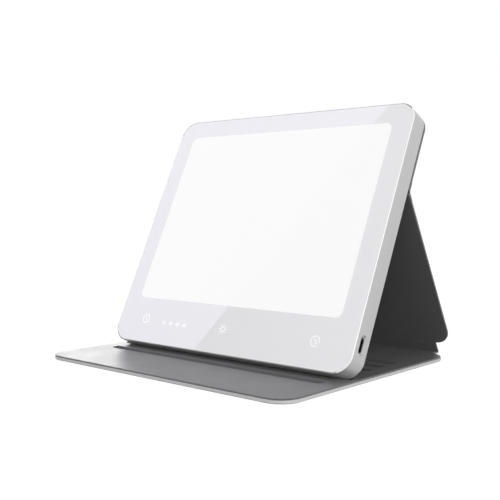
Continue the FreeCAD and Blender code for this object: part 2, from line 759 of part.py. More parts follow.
def main():
    """Write every node and print the places that the joints need."""
    os.makedirs("parts", exist_ok=True)
    for name, make in LAMP_NODES.items():
        write_node(name, stand_lamp(make()))
    for name, make in LEG_NODES.items():
        write_node(name, swing_leg(make()))
    for name, make in BASE_NODES.items():
        write_node(name, make())
    print("crease y z", round(CREASE_Y, 3), round(BASE_TOP, 3))
    print("fold y z", round(FOLD_Y, 3), round(FOLD_HEIGHT, 3))
    print("leg lean", round(math.degrees(LEG_LEAN), 3), "foot y", round(FOOT_Y, 3))
    print("seat y", round(SEAT_Y, 3))


main()
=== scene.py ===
import json
import math
from collections import namedtuple

import bmesh
import bpy
from bpy.props import FloatProperty, FloatVectorProperty, IntProperty, PointerProperty
from mathutils import Matrix, Vector


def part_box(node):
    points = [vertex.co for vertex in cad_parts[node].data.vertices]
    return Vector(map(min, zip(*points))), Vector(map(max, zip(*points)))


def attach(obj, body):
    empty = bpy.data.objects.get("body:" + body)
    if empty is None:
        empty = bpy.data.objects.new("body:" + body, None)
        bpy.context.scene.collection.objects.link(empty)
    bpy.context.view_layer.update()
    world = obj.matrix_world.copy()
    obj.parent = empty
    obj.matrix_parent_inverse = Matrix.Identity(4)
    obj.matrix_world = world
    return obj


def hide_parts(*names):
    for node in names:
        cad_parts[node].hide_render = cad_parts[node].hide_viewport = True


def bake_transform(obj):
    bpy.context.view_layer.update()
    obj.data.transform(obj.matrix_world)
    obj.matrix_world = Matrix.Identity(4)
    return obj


bl_info = {
    "name": "Light Panel on a Folding Stand",
    "version": (1, 0, 0),
    "blender": (4, 5, 0),
    "location": "View3D > Sidebar > Light Panel",
    "description": "Dresses a slab-shaped light panel and the folding cover that it stands on",
    "category": "Add Mesh",
}

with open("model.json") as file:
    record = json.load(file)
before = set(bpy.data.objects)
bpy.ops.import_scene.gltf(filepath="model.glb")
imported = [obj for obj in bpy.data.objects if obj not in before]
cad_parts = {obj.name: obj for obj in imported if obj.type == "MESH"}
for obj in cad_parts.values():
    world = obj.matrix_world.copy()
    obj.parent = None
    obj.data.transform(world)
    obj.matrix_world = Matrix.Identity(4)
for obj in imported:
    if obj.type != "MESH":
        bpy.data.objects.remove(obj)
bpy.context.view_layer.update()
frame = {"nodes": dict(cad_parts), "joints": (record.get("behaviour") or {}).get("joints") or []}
NODES = frame["nodes"]
PIVOTS = {joint["name"]: Vector(joint["pos_m"]) for joint in frame["joints"]}
MM = 0.001
QUARTER = math.pi / 2
WHITE = (1.0, 1.0, 1.0)

# Steps round small edges, the socket's ends, the spine's crease, the lining's corners and symbols
EDGE_STEPS = 4
SOCKET_STEPS = 12
CREASE_STEPS = 10
LINING_STEPS = 8
SYMBOL_STEPS = 40

# Points that are joined, and the angle below which neighbouring faces count as flat
SAME_POINT = 1e-7
NEAR_POINT = 2e-6
FLAT_ANGLE = math.radians(0.2)

# Housing: depth of the outer skin that takes the larger corners, and of the outer walls
SKIN_DEPTH = 1.5 * MM
WALL_DEPTH = 0.2 * MM

# Margins of the lip's painted highlight and painted shade, and the directions that their faces
# look, in the panel's frame
LIP_MARGIN = 0.05 * MM
LEFT_MARGIN = 0.1 * MM
HIGHLIGHT_DOWN, HIGHLIGHT_UP, HIGHLIGHT_LEFT = -0.66, 0.5, -0.2
SHADED_UP = 0.3
REAR_BACK, REAR_FRONT = -0.9, -0.1

# Socket's dark ring of painted shade in millimetres: length, width and height above the recess's
# floor
RECESS_DEPTH = 1.2 * MM
SHADE_RING = ((9.9, 4.2, 0.0), (9.9, 4.2, 0.08), (9.74, 4.04, 0.12), (8.62, 2.92, 0.12),
          (8.5, 2.8, 0.06), (8.5, 2.8, -0.36), (9.1, 3.4, -0.36), (9.1, 3.4, 0.0))
CONTACT_BEHIND = 2.3 * MM

# Grooves of the lining: half lengths, the seat's half width, and the steps between centre lines
GROOVE_HALF = 92 * MM
SEAT_HALF = 99.6 * MM
SEAT_WIDTH = 3.0 * MM
FRONT_STEP = 18 * MM
REAR_STEP = 15 * MM
REAR_GROOVES = range(1, 5)
LIP_OUT = 0.3 * MM
LIP_IN = 0.2 * MM

# Shallow slope in front of each pressed groove, and how quickly its sides rise
SLOPE_RUN = 2.8 * MM
SLOPE_DEPTH = 0.9 * MM
SLOPE_SIDE = 2.4 * MM

# Lining: its rolled edge, its thickness under a groove, and where its rows and columns stand,
# in millimetres from a groove's side, from its slope and from its end
ROLL = 0.2 * MM
PRESSED = 0.4 * MM
ROWS = (0.34, 0.26, 0.17, 0.08, -0.01, -0.1, -0.17, -0.24)
SLOPE_ROWS = (2.95, 2.8, 2.65, 2.0, 1.3, 0.7)
COLUMNS = (0.34, 0.22, 0.1, -0.02, -0.14, -0.3, -0.6, -1.0, -1.6, -2.3, -3.0, -3.8, -4.7, -5.6)
ROW_PITCH = 11.5 * MM
ROW_CLEAR = 2 * MM
COLUMN_PITCH = 11.0 * MM
COLUMN_CLEAR = 1.5 * MM

# Covered boards: edge roundings outside and inside, seam, and the square corners at the fold
OUTER_ROUND = 0.5 * MM
INNER_ROUND = 0.28 * MM
SEAM_AT = -0.4 * MM
SEAM_DEPTH = 0.12 * MM
SEAM_WIDTH = 0.06 * MM
SQUARE = 0.9 * MM

# Soft strips: thickness of the spine's bonded edges, gap inside its crease, skin over the fold
TONGUE = 0.8 * MM
CREASE_CORE = 0.1 * MM
SPINE_END = 0.5 * MM
FOLD_SKIN = 0.14 * MM
FOLD_TIP = 0.02 * MM
FOLD_LAP = 0.01 * MM
FOLD_HALF = 103.3 * MM
FOLD_END = 0.3 * MM
FOLD_STEPS = 6


# Settings

def length_of(name, description, default):
    """Length setting whose default is in millimetres."""
    return FloatProperty(name=name, description=description, default=default * MM, unit="LENGTH")


def colour_of(name, description, default):
    """Colour setting."""
    return FloatVectorProperty(name=name, description=description, default=default,
                               subtype="COLOR")


def strength_of(name, description, default):
    """Setting for the strength of a light."""
    return FloatProperty(name=name, description=description, default=default, min=0.0)


def power_of(name, description, default):
    """Setting for the power of a lamp."""
    return FloatProperty(name=name, description=description, default=default, unit="POWER")


class PanelSizes(bpy.types.PropertyGroup):
    """Sizes of the light panel, in its own frame."""

    half: length_of("Half width", "Half of the panel's width", 103.5)
    height: length_of("Height", "Height of the panel up its face", 180)
    depth: length_of("Depth", "Depth of the panel", 14.65)
    corner: length_of("Corner", "Radius of the panel's corners", 13)
    solid_corner: length_of("Solid corner", "Corner radius of the solids", 11)
    tilt: FloatProperty(name="Tilt", description="Angle between the face and the upright",
                        default=math.radians(25.15), subtype="ANGLE")
    glass_inset: length_of("Glass inset", "Housing's rim beside the front glass", 0.7)
    chamfer: length_of("Chamfer", "Bright chamfer round the housing's lip", 0.5)
    # The band behind the chamfer is cut only to carry the lip's painted highlight
    lip_band: length_of("Lip band", "Bright band behind that chamfer", 0.12)
    rear_round: length_of("Rear rounding", "Radius of the housing's rear edge", 1.2)
    port_up: length_of("Socket's place", "Socket's middle above the foot", 20.5)
    port_height: length_of("Socket's height", "Socket's middle above the back", 7.65)
    glass: length_of("Glass", "Thickness of the front glass", 1.2)
    glass_edge: length_of("Glass edge", "Width of the glass's eased edge", 0.25)
    window_side: length_of("Window side", "Border beside the lit window", 14.65)
    window_top: length_of("Window top", "Border above the lit window", 14.35)
    window_bottom: length_of("Window bottom", "Border below the lit window", 33.6)
    window_corner: length_of("Window corner", "Radius of the window's corners", 4.5)
    window_rim: length_of("Window rim", "Bright line round the window", 0.45)
    control_up: length_of("Controls", "Height of the printed controls", 17.5)
    stroke: length_of("Stroke", "Line width of the printed symbols", 0.42)
    print_lift: length_of("Print", "Thickness of the print on the glass", 0.03)


class CoverSizes(bpy.types.PropertyGroup):
    """Sizes of the folding cover."""

    fold_up: length_of("Fold height", "Height of the fold up the panel's back", 124.5)
    fold_back: length_of("Fold depth", "Distance of the fold behind the panel", 1.85)
    board: length_of("Board", "Thickness of a covered board", 1.7)
    leg_length: length_of("Leg", "Length of the leg's board", 118)
    fold_gap: length_of("Fold gap", "Gap from a board's edge to the fold", 0.25)
    inset: length_of("Inset", "How far the boards stand inside the panel", 0.15)
    spine_half: length_of("Spine", "Half of the spine's length", 92)
    spine_thickness: length_of("Spine thickness", "Thickness of the soft spine", 1.2)
    base_depth: length_of("Base depth", "Depth of the base from front to back", 179.2)
    base_corner: length_of("Base corner", "Radius of the base's corners", 13.5)
    base_plate: length_of("Base plate", "Thickness of the base's plate", 2.1)
    base_top: length_of("Base top", "Height of the base's lining", 3.1)
    lining_inset: length_of("Lining inset", "How far the lining stands inside", 0.25)
    seat: length_of("Seat", "Place of the groove that holds the panel's foot", -20.387)
    groove_depth: length_of("Groove depth", "Depth of the pressed grooves", 1.9)
    groove_width: length_of("Groove width", "Width of the pressed grooves", 5.6)


class Finishes(bpy.types.PropertyGroup):
    """Colours of the visible surfaces."""

    silver: colour_of("Silver", "Metallic paint of the housing", (0.545, 0.543, 0.541))
    # Painted highlight: the lip's finish glows, so the chamfer reads bright under any lamp
    bright: colour_of("Bright lip", "Chamfer and lip of the housing", (0.34, 0.34, 0.342))
    # Painted highlight: a lighter copy of the silver paint for the housing's rounded rear edge
    worn: colour_of("Rear edge", "Rounded rear edge of the housing", (0.74, 0.74, 0.74))
    bezel: colour_of("Bezel", "Print behind the front glass", (0.88, 0.88, 0.895))
    glow: colour_of("Glow", "Light of the window", WHITE)
    cover: colour_of("Cover", "Soft covering of the stand", (0.127, 0.127, 0.128))
    plate: colour_of("Plate", "Pale plate under the base", (0.60, 0.60, 0.605))
    window_light: strength_of("Window light", "Strength of the lit window", 0.86)
    symbol_light: strength_of("Symbol light", "Strength of the lit symbols", 0.42)


class StageSettings(bpy.types.PropertyGroup):
    """Camera and lamps."""

    camera_at: FloatVectorProperty(name="Camera", description="Place of the camera", unit="LENGTH",
                                   default=(0.3586, -0.4112, 0.1013))
    camera_turn: FloatVectorProperty(name="Camera turn", description="Turn of the camera",
                                     subtype="EULER",
                                     default=[math.radians(turn)
                                              for turn in (87.17, -0.185, 40.94)])
    lens: FloatProperty(name="Lens", description="Focal length", default=58.02, unit="CAMERA")
    sky: strength_of("Sky", "Strength of the light from straight above", 0.32)
    horizon: strength_of("Horizon", "Strength of the light from the horizon", 0.80)
    softbox: power_of("Softbox", "Power of the large lamp at the left", 4.3)
    sheen: power_of("Sheen", "Power of the card that the glass mirrors", 9.7)
    sheen_colour: colour_of("Sheen colour", "Colour of that card", (0.77, 0.72, 1.0))
    rim: power_of("Rim", "Power of the low lamp behind at the left", 10.8)
    low: power_of("Low lamp", "Power of the low lamp in front at the right", 2.7)
    fill: power_of("Fill", "Power of the lamp at the right", 4.8)
    back: power_of("Back lamp", "Power of the lamp behind at the right", 0.8)
    front: power_of("Front", "Power of the lamp in front", 2.6)
    corner_steps: IntProperty(name="Corner steps", description="Faces round a corner", default=14,
                              min=3)


Settings = namedtuple("Settings", "sizes cover finishes stage")


def settings():
    """The four groups of settings."""
    scene = bpy.context.scene
    return Settings(scene.panel_sizes, scene.cover_sizes, scene.panel_finishes, scene.panel_stage)


# Frames of the parts that stand at an angle

def panel_frame():
    """From the panel's own frame (x across, y up the face, z to the front) to the object's."""
    sizes, cover, _, _ = settings()
    turn = Matrix.Rotation(math.radians(90) - sizes.tilt, 4, "X")
    fold = turn @ Vector((0, cover.fold_up, -cover.fold_back))
    return Matrix.Translation(PIVOTS["back_fold"] - fold) @ turn


def leg_frame():
    """The same for the leg, which is measured shut against the panel's back."""
    cover = settings().cover
    panel = panel_frame()
    pivot = Vector((0, cover.fold_up, -cover.fold_back))
    opened = panel.inverted() @ PIVOTS["spine_crease"] - pivot
    reach = math.sqrt(opened.length_squared - cover.fold_back ** 2)
    swing = math.atan2(opened.z, opened.y) - math.atan2(cover.fold_back, -reach)
    return (panel @ Matrix.Translation(pivot) @ Matrix.Rotation(swing, 4, "X")
            @ Matrix.Translation(-pivot))


def along(matrix, direction):
    """A direction of a part's frame as Y and Z of the object's."""
    return (matrix.to_3x3() @ Vector(direction)).yz


# Mesh helpers

def arc(steps, start=0.0, stop=90.0):
    """Angles in radians between two angles in degrees, both included."""
    return [math.radians(start + (stop - start) * step / steps) for step in range(steps + 1)]


def outline(shape, steps):
    """Counter-clockwise points of a rectangle about x = 0, each end rounded by its own radius."""
    half, low, high, low_radius, high_radius = shape
    points = []
    for side, y, radius, start in ((1, low, low_radius, -90), (1, high, high_radius, 0),
                                   (-1, high, high_radius, 90), (-1, low, low_radius, 180)):
        middle = y + radius if y == low else y - radius
        points += [(side * (half - radius) + radius * math.cos(turn),
                    middle + radius * math.sin(turn)) for turn in arc(steps, start, start + 90)]
    return points


def inset_shape(shape, inset):
    """The same outline drawn in all round."""
    half, low, high, *radii = shape
    least = 0.05 * MM
    return (half - inset, low + inset, high - inset, *(max(radius - inset, least)
                                                       for radius in radii))


def eased_edge(high, radius):
    """Profile of a rounded edge below a height, as (inset, height) from the side to the top."""
    return [(radius * (1 - math.cos(turn)), high - radius * (1 - math.sin(turn)))
            for turn in arc(EDGE_STEPS)]


def skin(builder, rings, closed=True):
    """Faces between each ring of points and the next, or between open rows."""
    faces = []
    for lower, upper in zip(rings, rings[1:]):
        for index in range(len(lower) if closed else len(lower) - 1):
            after = (index + 1) % len(lower)
            faces.append(builder.faces.new((lower[index], lower[after],
                                            upper[after], upper[index])))
    return faces


def new_mesh(name, builder, turn_out=True):
    """Mesh from a builder, with its faces turned outwards where they may not be."""
    if turn_out:
        bmesh.ops.recalc_face_normals(builder, faces=builder.faces)
    mesh = bpy.data.meshes.new(name)
    builder.to_mesh(mesh)
    builder.free()
    return mesh


def stacked_mesh(name, rings, matrix, bands=None):
    """Closed mesh from rings of (shape, height); bands gives the finish number above each ring."""
    steps = settings().stage.corner_steps
    bands = bands or [0] * len(rings)
    builder = bmesh.new()
    loops = [[builder.verts.new(matrix @ Vector((x, y, height))) for x, y in outline(shape, steps)]
             for shape, height in rings]
    for pair, band in zip(zip(loops, loops[1:]), bands):
        for face in skin(builder, pair):
            face.material_index = band
    builder.faces.new(loops[0][::-1])
    builder.faces.new(loops[-1]).material_index = bands[-1]
    bmesh.ops.remove_doubles(builder, verts=builder.verts, dist=SAME_POINT)
    return new_mesh(name, builder, turn_out=False)


def ribbon_mesh(name, line, half, end_round):
    """Soft strip along X; line holds (point, normal, thickness) across it, in Y and Z."""
    ends = [(end_round * (1 - math.sin(turn)) - half, max(math.cos(turn), 0.05))
            for turn in reversed(arc(EDGE_STEPS))]
    builder = bmesh.new()
    rings = []
    for x, share in ends + [(-x, share) for x, share in reversed(ends)]:
        faces = []
        for side in (1, -1):
            rows = [point + normal.normalized() * (side * thickness / 2 * share)
                    for point, normal, thickness in line]
            faces.append([builder.verts.new((x, *row)) for row in rows])
        rings.append(faces[0] + faces[1][::-1])
    skin(builder, rings)
    for ring in (rings[0], rings[-1]):
        skin(builder, (ring[:len(line)], ring[:len(line) - 1:-1]), closed=False)
    return new_mesh(name, builder)


def merged_copy(node, name):
    """Copy of a node's mesh with its loose triangles joined and its flat faces made whole."""
    builder = bmesh.new()
    builder.from_mesh(NODES[node].data)
    bmesh.ops.remove_doubles(builder, verts=builder.verts, dist=NEAR_POINT)
    bmesh.ops.dissolve_limit(builder, angle_limit=FLAT_ANGLE, verts=builder.verts,
                             edges=builder.edges, use_dissolve_boundaries=False)
    return new_mesh(name, builder, turn_out=False)


def evaluated_mesh(name, holder):
    """Mesh that an object's modifiers or text make; the object is removed."""
    bpy.context.scene.collection.objects.link(holder)
    bpy.context.view_layer.update()
    graph = bpy.context.evaluated_depsgraph_get()
    mesh = bpy.data.meshes.new_from_object(holder.evaluated_get(graph), depsgraph=graph)
    mesh.name = name
    bpy.data.objects.remove(holder)
    return mesh


def grown_mesh(name, tree, values):
    """Mesh that a geometry tree makes with the given inputs."""
    holder = bpy.data.objects.new(name + " holder", bpy.data.meshes.new(name + " holder"))
    modifier = holder.modifiers.new("build", "NODES")
    modifier.node_group = tree
    for item in tree.interface.items_tree:
        if item.in_out == "INPUT" and item.name in values:
            modifier[item.identifier] = values[item.name]
    return evaluated_mesh(name, holder)


def add_piece(name, mesh, materials, angle, body=None, nodes=()):
    """Finished piece at the origin: smooth apart from edges sharper than the angle, riding its
    body, and standing for the named nodes."""
    piece = bpy.data.objects.new(name, mesh)
    bpy.context.scene.collection.objects.link(piece)
    for material in materials:
        if material.name not in mesh.materials:
            mesh.materials.append(material)
    mesh.polygons.foreach_set("use_smooth", [True] * len(mesh.polygons))
    mesh.set_sharp_from_angle(angle=math.radians(angle))
    modifier = piece.modifiers.new("weighted normals", "WEIGHTED_NORMAL")
    modifier.mode = "FACE_AREA"
    modifier.weight = 100
    modifier.keep_sharp = True
    if body:
        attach(piece, body)
    if nodes:
        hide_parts(*nodes)
    return piece


def dress(node, material):
    """Gives a node that stays in view its finish."""
    materials = NODES[node].data.materials
    materials.clear()
    materials.append(material)


# Node helpers

def once(store):
    """Makes a function that builds a named material or group return the one that is there."""
    def wrap(build):
        def find(name, *values, **plain):
            return getattr(bpy.data, store).get(name) or build(name, *values, **plain)
        return find
    return wrap


def add_node(tree, kind, inputs=(), **options):
    """New node with its options; inputs holds numbers, colours or sockets by name or place."""
    node = tree.nodes.new(kind)
    for title, value in options.items():
        setattr(node, title, value)
    for title, value in dict(inputs).items():
        if isinstance(value, bpy.types.NodeSocket):
            tree.links.new(value, node.inputs[title])
        else:
            node.inputs[title].default_value = value
    return node


def calculate(tree, operation, *values):
    """Output of a math node whose inputs are numbers or sockets."""
    return add_node(tree, "ShaderNodeMath", enumerate(values), operation=operation).outputs[0]


def noise(tree, vector, scale, detail=3.0, rough=0.5):
    """Output of a noise texture."""
    return add_node(tree, "ShaderNodeTexNoise", {"Vector": vector, "Scale": scale, "Detail": detail,
                                                 "Roughness": rough}).outputs["Fac"]


def drift(tree, vector, scale, detail=3.0, rough=0.5):
    """The same noise about zero."""
    return calculate(tree, "SUBTRACT", noise(tree, vector, scale, detail, rough), 0.5)


def tinted(tree, colour, factor):
    """A colour times a factor that changes over the surface."""
    return add_node(tree, "ShaderNodeVectorMath", {0: colour, "Scale": factor},
                    operation="SCALE").outputs["Vector"]


def new_group(name, kind, inputs, outputs):
    """Empty node group; inputs holds (name, kind, default) and outputs (name, kind)."""
    group = bpy.data.node_groups.new(name, kind)
    for title, value, default in inputs:
        socket = group.interface.new_socket(title, in_out="INPUT",
                                            socket_type="NodeSocket" + value)
        if default is not None:
            socket.default_value = default
    for title, value in outputs:
        group.interface.new_socket(title, in_out="OUTPUT", socket_type="NodeSocket" + value)
    return group, group.nodes.new("NodeGroupInput").outputs, group.nodes.new("NodeGroupOutput")


def surface_group(name, inputs):
    """Empty shader group that gives a colour, a roughness and a height."""
    inputs = (("Vector", "Vector", None), ("Colour", "Color", None), *inputs)
    outputs = (("Colour", "Color"), ("Roughness", "Float"), ("Height", "Float"))
    return new_group(name, "ShaderNodeTree", inputs, outputs)


def finish_group(group, end, colour, roughness, height):
    """Links the three outputs of such a group."""
    for title, socket in (("Colour", colour), ("Roughness", roughness), ("Height", height)):
        group.links.new(socket, end.inputs[title])
    return group


@once("node_groups")
def moulded_group(name):
    """Fine moulded or painted surface: slight drift of tone and gloss over a fine texture."""
    group, given, end = surface_group(name, (
        ("Tone Drift", "Float", 0.04), ("Roughness", "Float", 0.4), ("Gloss Drift", "Float", 0.05),
        ("Texture Scale", "Float", 2500.0)))
    vector = given["Vector"]
    factor = calculate(group, "MULTIPLY_ADD", drift(group, vector, 28.0, 4.0),
                       given["Tone Drift"], 1.0)
    roughness = calculate(group, "MULTIPLY_ADD", drift(group, vector, 90.0, 5.0, 0.6),
                          given["Gloss Drift"], given["Roughness"])
    return finish_group(group, end, tinted(group, given["Colour"], factor), roughness,
                        noise(group, vector, given["Texture Scale"], 2.0))


@once("node_groups")
def grain_group(name):
    """Soft-touch covering: small pressed grain cells, with faint rubbed and dull places."""
    group, given, end = surface_group(name, (
        ("Grain Scale", "Float", 1500.0), ("Roughness", "Float", 0.55),
        ("Tone Drift", "Float", 0.12)))
    vector = given["Vector"]
    push = add_node(group, "ShaderNodeVectorMath", {
        0: noise(group, vector, 700.0, 2.0), 1: (0.0006, 0.0006, 0.0006), 2: vector},
        operation="MULTIPLY_ADD")
    cell = add_node(group, "ShaderNodeTexVoronoi", {
        "Vector": push.outputs["Vector"], "Scale": given["Grain Scale"], "Smoothness": 0.6},
        feature="SMOOTH_F1").outputs["Distance"]
    height = calculate(group, "MULTIPLY_ADD", noise(group, vector, 4200.0, 2.0), 0.25,
                       calculate(group, "MULTIPLY_ADD", cell, -0.8, 0.8))
    rubbed = drift(group, vector, 34.0, 5.0, 0.62)
    factor = calculate(group, "MULTIPLY",
                       calculate(group, "MULTIPLY_ADD", rubbed, given["Tone Drift"], 1.0),
                       calculate(group, "MULTIPLY_ADD", cell, -0.12, 1.04))
    roughness = calculate(group, "MULTIPLY_ADD", rubbed, -0.16, given["Roughness"])
    return finish_group(group, end, tinted(group, given["Colour"], factor), roughness, height)


# Materials

def empty_tree(block):
    """Cleared node tree of a material or world."""
    block.use_nodes = True
    block.node_tree.nodes.clear()
    return block.node_tree


def new_material(name, plain):
    """Material with its shader and Object coordinates; plain sets the shader's own sockets."""
    material = bpy.data.materials.new(name)
    tree = empty_tree(material)
    shader = add_node(tree, "ShaderNodeBsdfPrincipled",
                      {title.replace("_", " "): value for title, value in plain.items()})
    add_node(tree, "ShaderNodeOutputMaterial", {"Surface": shader.outputs["BSDF"]})
    place = tree.nodes.new("ShaderNodeTexCoord")
    return material, tree, shader.inputs, place.outputs["Object"]


def add_bump(tree, sockets, height, distance, strength=1.0):
    """Bump from a height socket."""
    bump = add_node(tree, "ShaderNodeBump", {"Strength": strength, "Distance": distance,
                                             "Height": height})
    tree.links.new(bump.outputs["Normal"], sockets["Normal"])


@once("materials")
def detailed(name, group, values, bump, plain):
    """Finish whose colour, roughness and bump come from a shader group."""
    material, tree, sockets, vector = new_material(name, plain)
    made = add_node(tree, "ShaderNodeGroup", {"Vector": vector, **values}, node_tree=group).outputs
    tree.links.new(made["Colour"], sockets["Base Color"])
    tree.links.new(made["Roughness"], sockets["Roughness"])
    add_bump(tree, sockets, made["Height"], bump)
    return material


def surface(name, colour, roughness, tone=0.05, gloss=0.06, texture=2500.0, bump=0.004 * MM,
            **plain):
    """Moulded, painted or metal finish; plain sets the shader's own sockets."""
    return detailed(name, moulded_group("moulded surface"), {
        "Colour": (*colour, 1.0), "Tone Drift": tone, "Roughness": roughness,
        "Gloss Drift": gloss, "Texture Scale": texture}, bump, plain)


def covering(name, colour, roughness):
    """Soft-touch covering with its pressed grain."""
    return detailed(name, grain_group("soft grain"), {
        "Colour": (*colour, 1.0), "Grain Scale": 1500.0, "Roughness": roughness}, 0.02 * MM, {})


def soft_cover():
    """Finish of the whole folding cover."""
    return covering("soft cover", settings().finishes.cover, 0.42)


@once("materials")
def glowing(name, colour, glow, strength, roughness, **plain):
    """Finish that gives off its own light, with faint cloudiness; plain sets the shader's sockets.
    It is real light on the window, symbols and LEDs, a painted highlight on the housing's lip and a
    painted shade line on the glass's edge.
    """
    material, tree, sockets, vector = new_material(name, {
        "Base_Color": (*colour, 1.0), "Roughness": roughness, "Emission_Strength": strength,
        **plain})
    factor = calculate(tree, "MULTIPLY_ADD", drift(tree, vector, 22.0), 0.012, 1.0)
    light = tree.nodes.new("ShaderNodeRGB").outputs[0]
    light.default_value = (*glow, 1.0)
    tree.links.new(tinted(tree, light, factor), sockets["Emission Color"])
    return material


@once("materials")
def printed_board(name):
    """Green board: solder mask over copper runs, bright pads between them."""
    material, tree, sockets, vector = new_material(name, {})
    runs = add_node(tree, "ShaderNodeTexBrick", {
        "Vector": vector, "Scale": 160.0, "Mortar Size": 0.05, "Color1": (0.010, 0.085, 0.032, 1),
        "Color2": (0.014, 0.110, 0.042, 1), "Mortar": (0.035, 0.190, 0.085, 1)}).outputs
    pads = add_node(tree, "ShaderNodeTexVoronoi", {"Vector": vector, "Scale": 260.0})
    dots = calculate(tree, "LESS_THAN", pads.outputs["Distance"], 0.13)
    mix = add_node(tree, "ShaderNodeMix", {
        "Factor": dots, "A": runs["Color"], "B": (0.72, 0.55, 0.26, 1)}, data_type="RGBA")
    tree.links.new(mix.outputs["Result"], sockets["Base Color"])
    tree.links.new(dots, sockets["Metallic"])
    tree.links.new(calculate(tree, "MULTIPLY_ADD", dots, -0.1, 0.36), sockets["Roughness"])
    add_bump(tree, sockets, runs["Fac"], 0.02 * MM, 0.6)
    return material


# Repeats made with Geometry Nodes

def geometry_group(name, inputs):
    """Empty geometry group that also takes a material."""
    return new_group(name, "GeometryNodeTree", (*inputs, ("Material", "Material", None)),
                     (("Geometry", "Geometry"),))


def finish_tree(tree, geometry, given, end):
    """Ends a tree in Realize Instances and Set Material."""
    real = add_node(tree, "GeometryNodeRealizeInstances", {"Geometry": geometry})
    paint = add_node(tree, "GeometryNodeSetMaterial", {
        "Geometry": real.outputs["Geometry"], "Material": given["Material"]})
    tree.links.new(paint.outputs["Geometry"], end.inputs["Geometry"])
    return tree


def combined(tree, **parts):
    """Vector from the given parts."""
    return add_node(tree, "ShaderNodeCombineXYZ", parts).outputs["Vector"]


@once("node_groups")
def contact_tree(name):
    """Row of flat contacts on both faces of a socket's tongue."""
    tree, given, end = geometry_group(name, (
        ("Count", "Int", 12), ("Pitch", "Float", 0.5 * MM), ("Size", "Vector", WHITE),
        ("Face Gap", "Float", 0.7 * MM)))
    reach = calculate(tree, "MULTIPLY", calculate(tree, "SUBTRACT", given["Count"], 1.0),
                      given["Pitch"])
    line = add_node(tree, "GeometryNodeMeshLine", {
        "Count": given["Count"], "Offset": combined(tree, Y=given["Pitch"]),
        "Start Location": combined(tree, Y=calculate(tree, "MULTIPLY", reach, -0.5))})
    block = add_node(tree, "GeometryNodeMeshCube", {"Size": given["Size"]})
    join = tree.nodes.new("GeometryNodeJoinGeometry")
    for side in (-0.5, 0.5):
        lift = combined(tree, Z=calculate(tree, "MULTIPLY", given["Face Gap"], side))
        move = add_node(tree, "GeometryNodeTransform", {"Geometry": line.outputs["Mesh"],
                                                        "Translation": lift})
        spread = add_node(tree, "GeometryNodeInstanceOnPoints", {
            "Points": move.outputs["Geometry"], "Instance": block.outputs["Mesh"]})
        tree.links.new(spread.outputs["Instances"], join.inputs["Geometry"])
    return finish_tree(tree, join.outputs["Geometry"], given, end)


@once("node_groups")
def ray_tree(name):
    """Ring of short rays, such as round a sun symbol."""
    tree, given, end = geometry_group(name, (
        ("Count", "Int", 8), ("Radius", "Float", 3.4 * MM), ("Length", "Float", 1.4 * MM),
        ("Width", "Float", 0.6 * MM), ("Thickness", "Float", 0.03 * MM)))
    ring = add_node(tree, "GeometryNodeMeshCircle", {"Vertices": given["Count"],
                                                     "Radius": given["Radius"]})
    size = combined(tree, X=given["Length"], Y=given["Width"], Z=given["Thickness"])
    block = add_node(tree, "GeometryNodeMeshCube", {"Size": size})
    place = tree.nodes.new("GeometryNodeInputPosition")
    aim = add_node(tree, "FunctionNodeAlignEulerToVector", {
        "Vector": place.outputs["Position"]}, axis="X")
    spread = add_node(tree, "GeometryNodeInstanceOnPoints", {
        "Points": ring.outputs["Mesh"], "Instance": block.outputs["Mesh"],
        "Rotation": aim.outputs["Rotation"]})
    return finish_tree(tree, spread.outputs["Instances"], given, end)


# Flat symbols on the glass

def arc_points(radius, start, stop):
    """Points along an arc about the symbol's middle, with angles in degrees."""
    return [(radius * math.cos(turn), radius * math.sin(turn))
            for turn in arc(SYMBOL_STEPS, start, stop)]


def on_glass(x, lift=0.0):
    """Frame of a symbol x across the panel and lifted from the controls' line, in millimetres."""
    sizes = settings().sizes
    return panel_frame() @ Matrix.Translation((x * MM, sizes.control_up + lift * MM, sizes.depth))


def add_stroke(builder, points, width, closed, matrix):
    """Flat line through points in the glass's plane, in millimetres."""
    points = [(x * MM, y * MM) for x, y in points]
    last = len(points) - 1
    thickness = settings().sizes.print_lift
    rings = []
    for index, (x, y) in enumerate(points):
        before = points[index - 1] if closed or index > 0 else points[0]
        after = points[(index + 1) % len(points)] if closed or index < last else points[last]
        line = Vector((after[0] - before[0], after[1] - before[1])).normalized() * (width / 2)
        rings.append([builder.verts.new(matrix @ Vector((x - side * line.y, y + side * line.x,
                                                         height)))
                      for side, height in ((-1, 0.0), (1, 0.0), (1, thickness), (-1, thickness))])
    skin(builder, rings + rings[:1] if closed else rings)
    if not closed:
        builder.faces.new(rings[0])
        builder.faces.new(rings[-1])


# Operators

class PartOperator:
    """What the operators share: each makes its parts in build."""

    def execute(self, context):
        self.build()
        return {"FINISHED"}


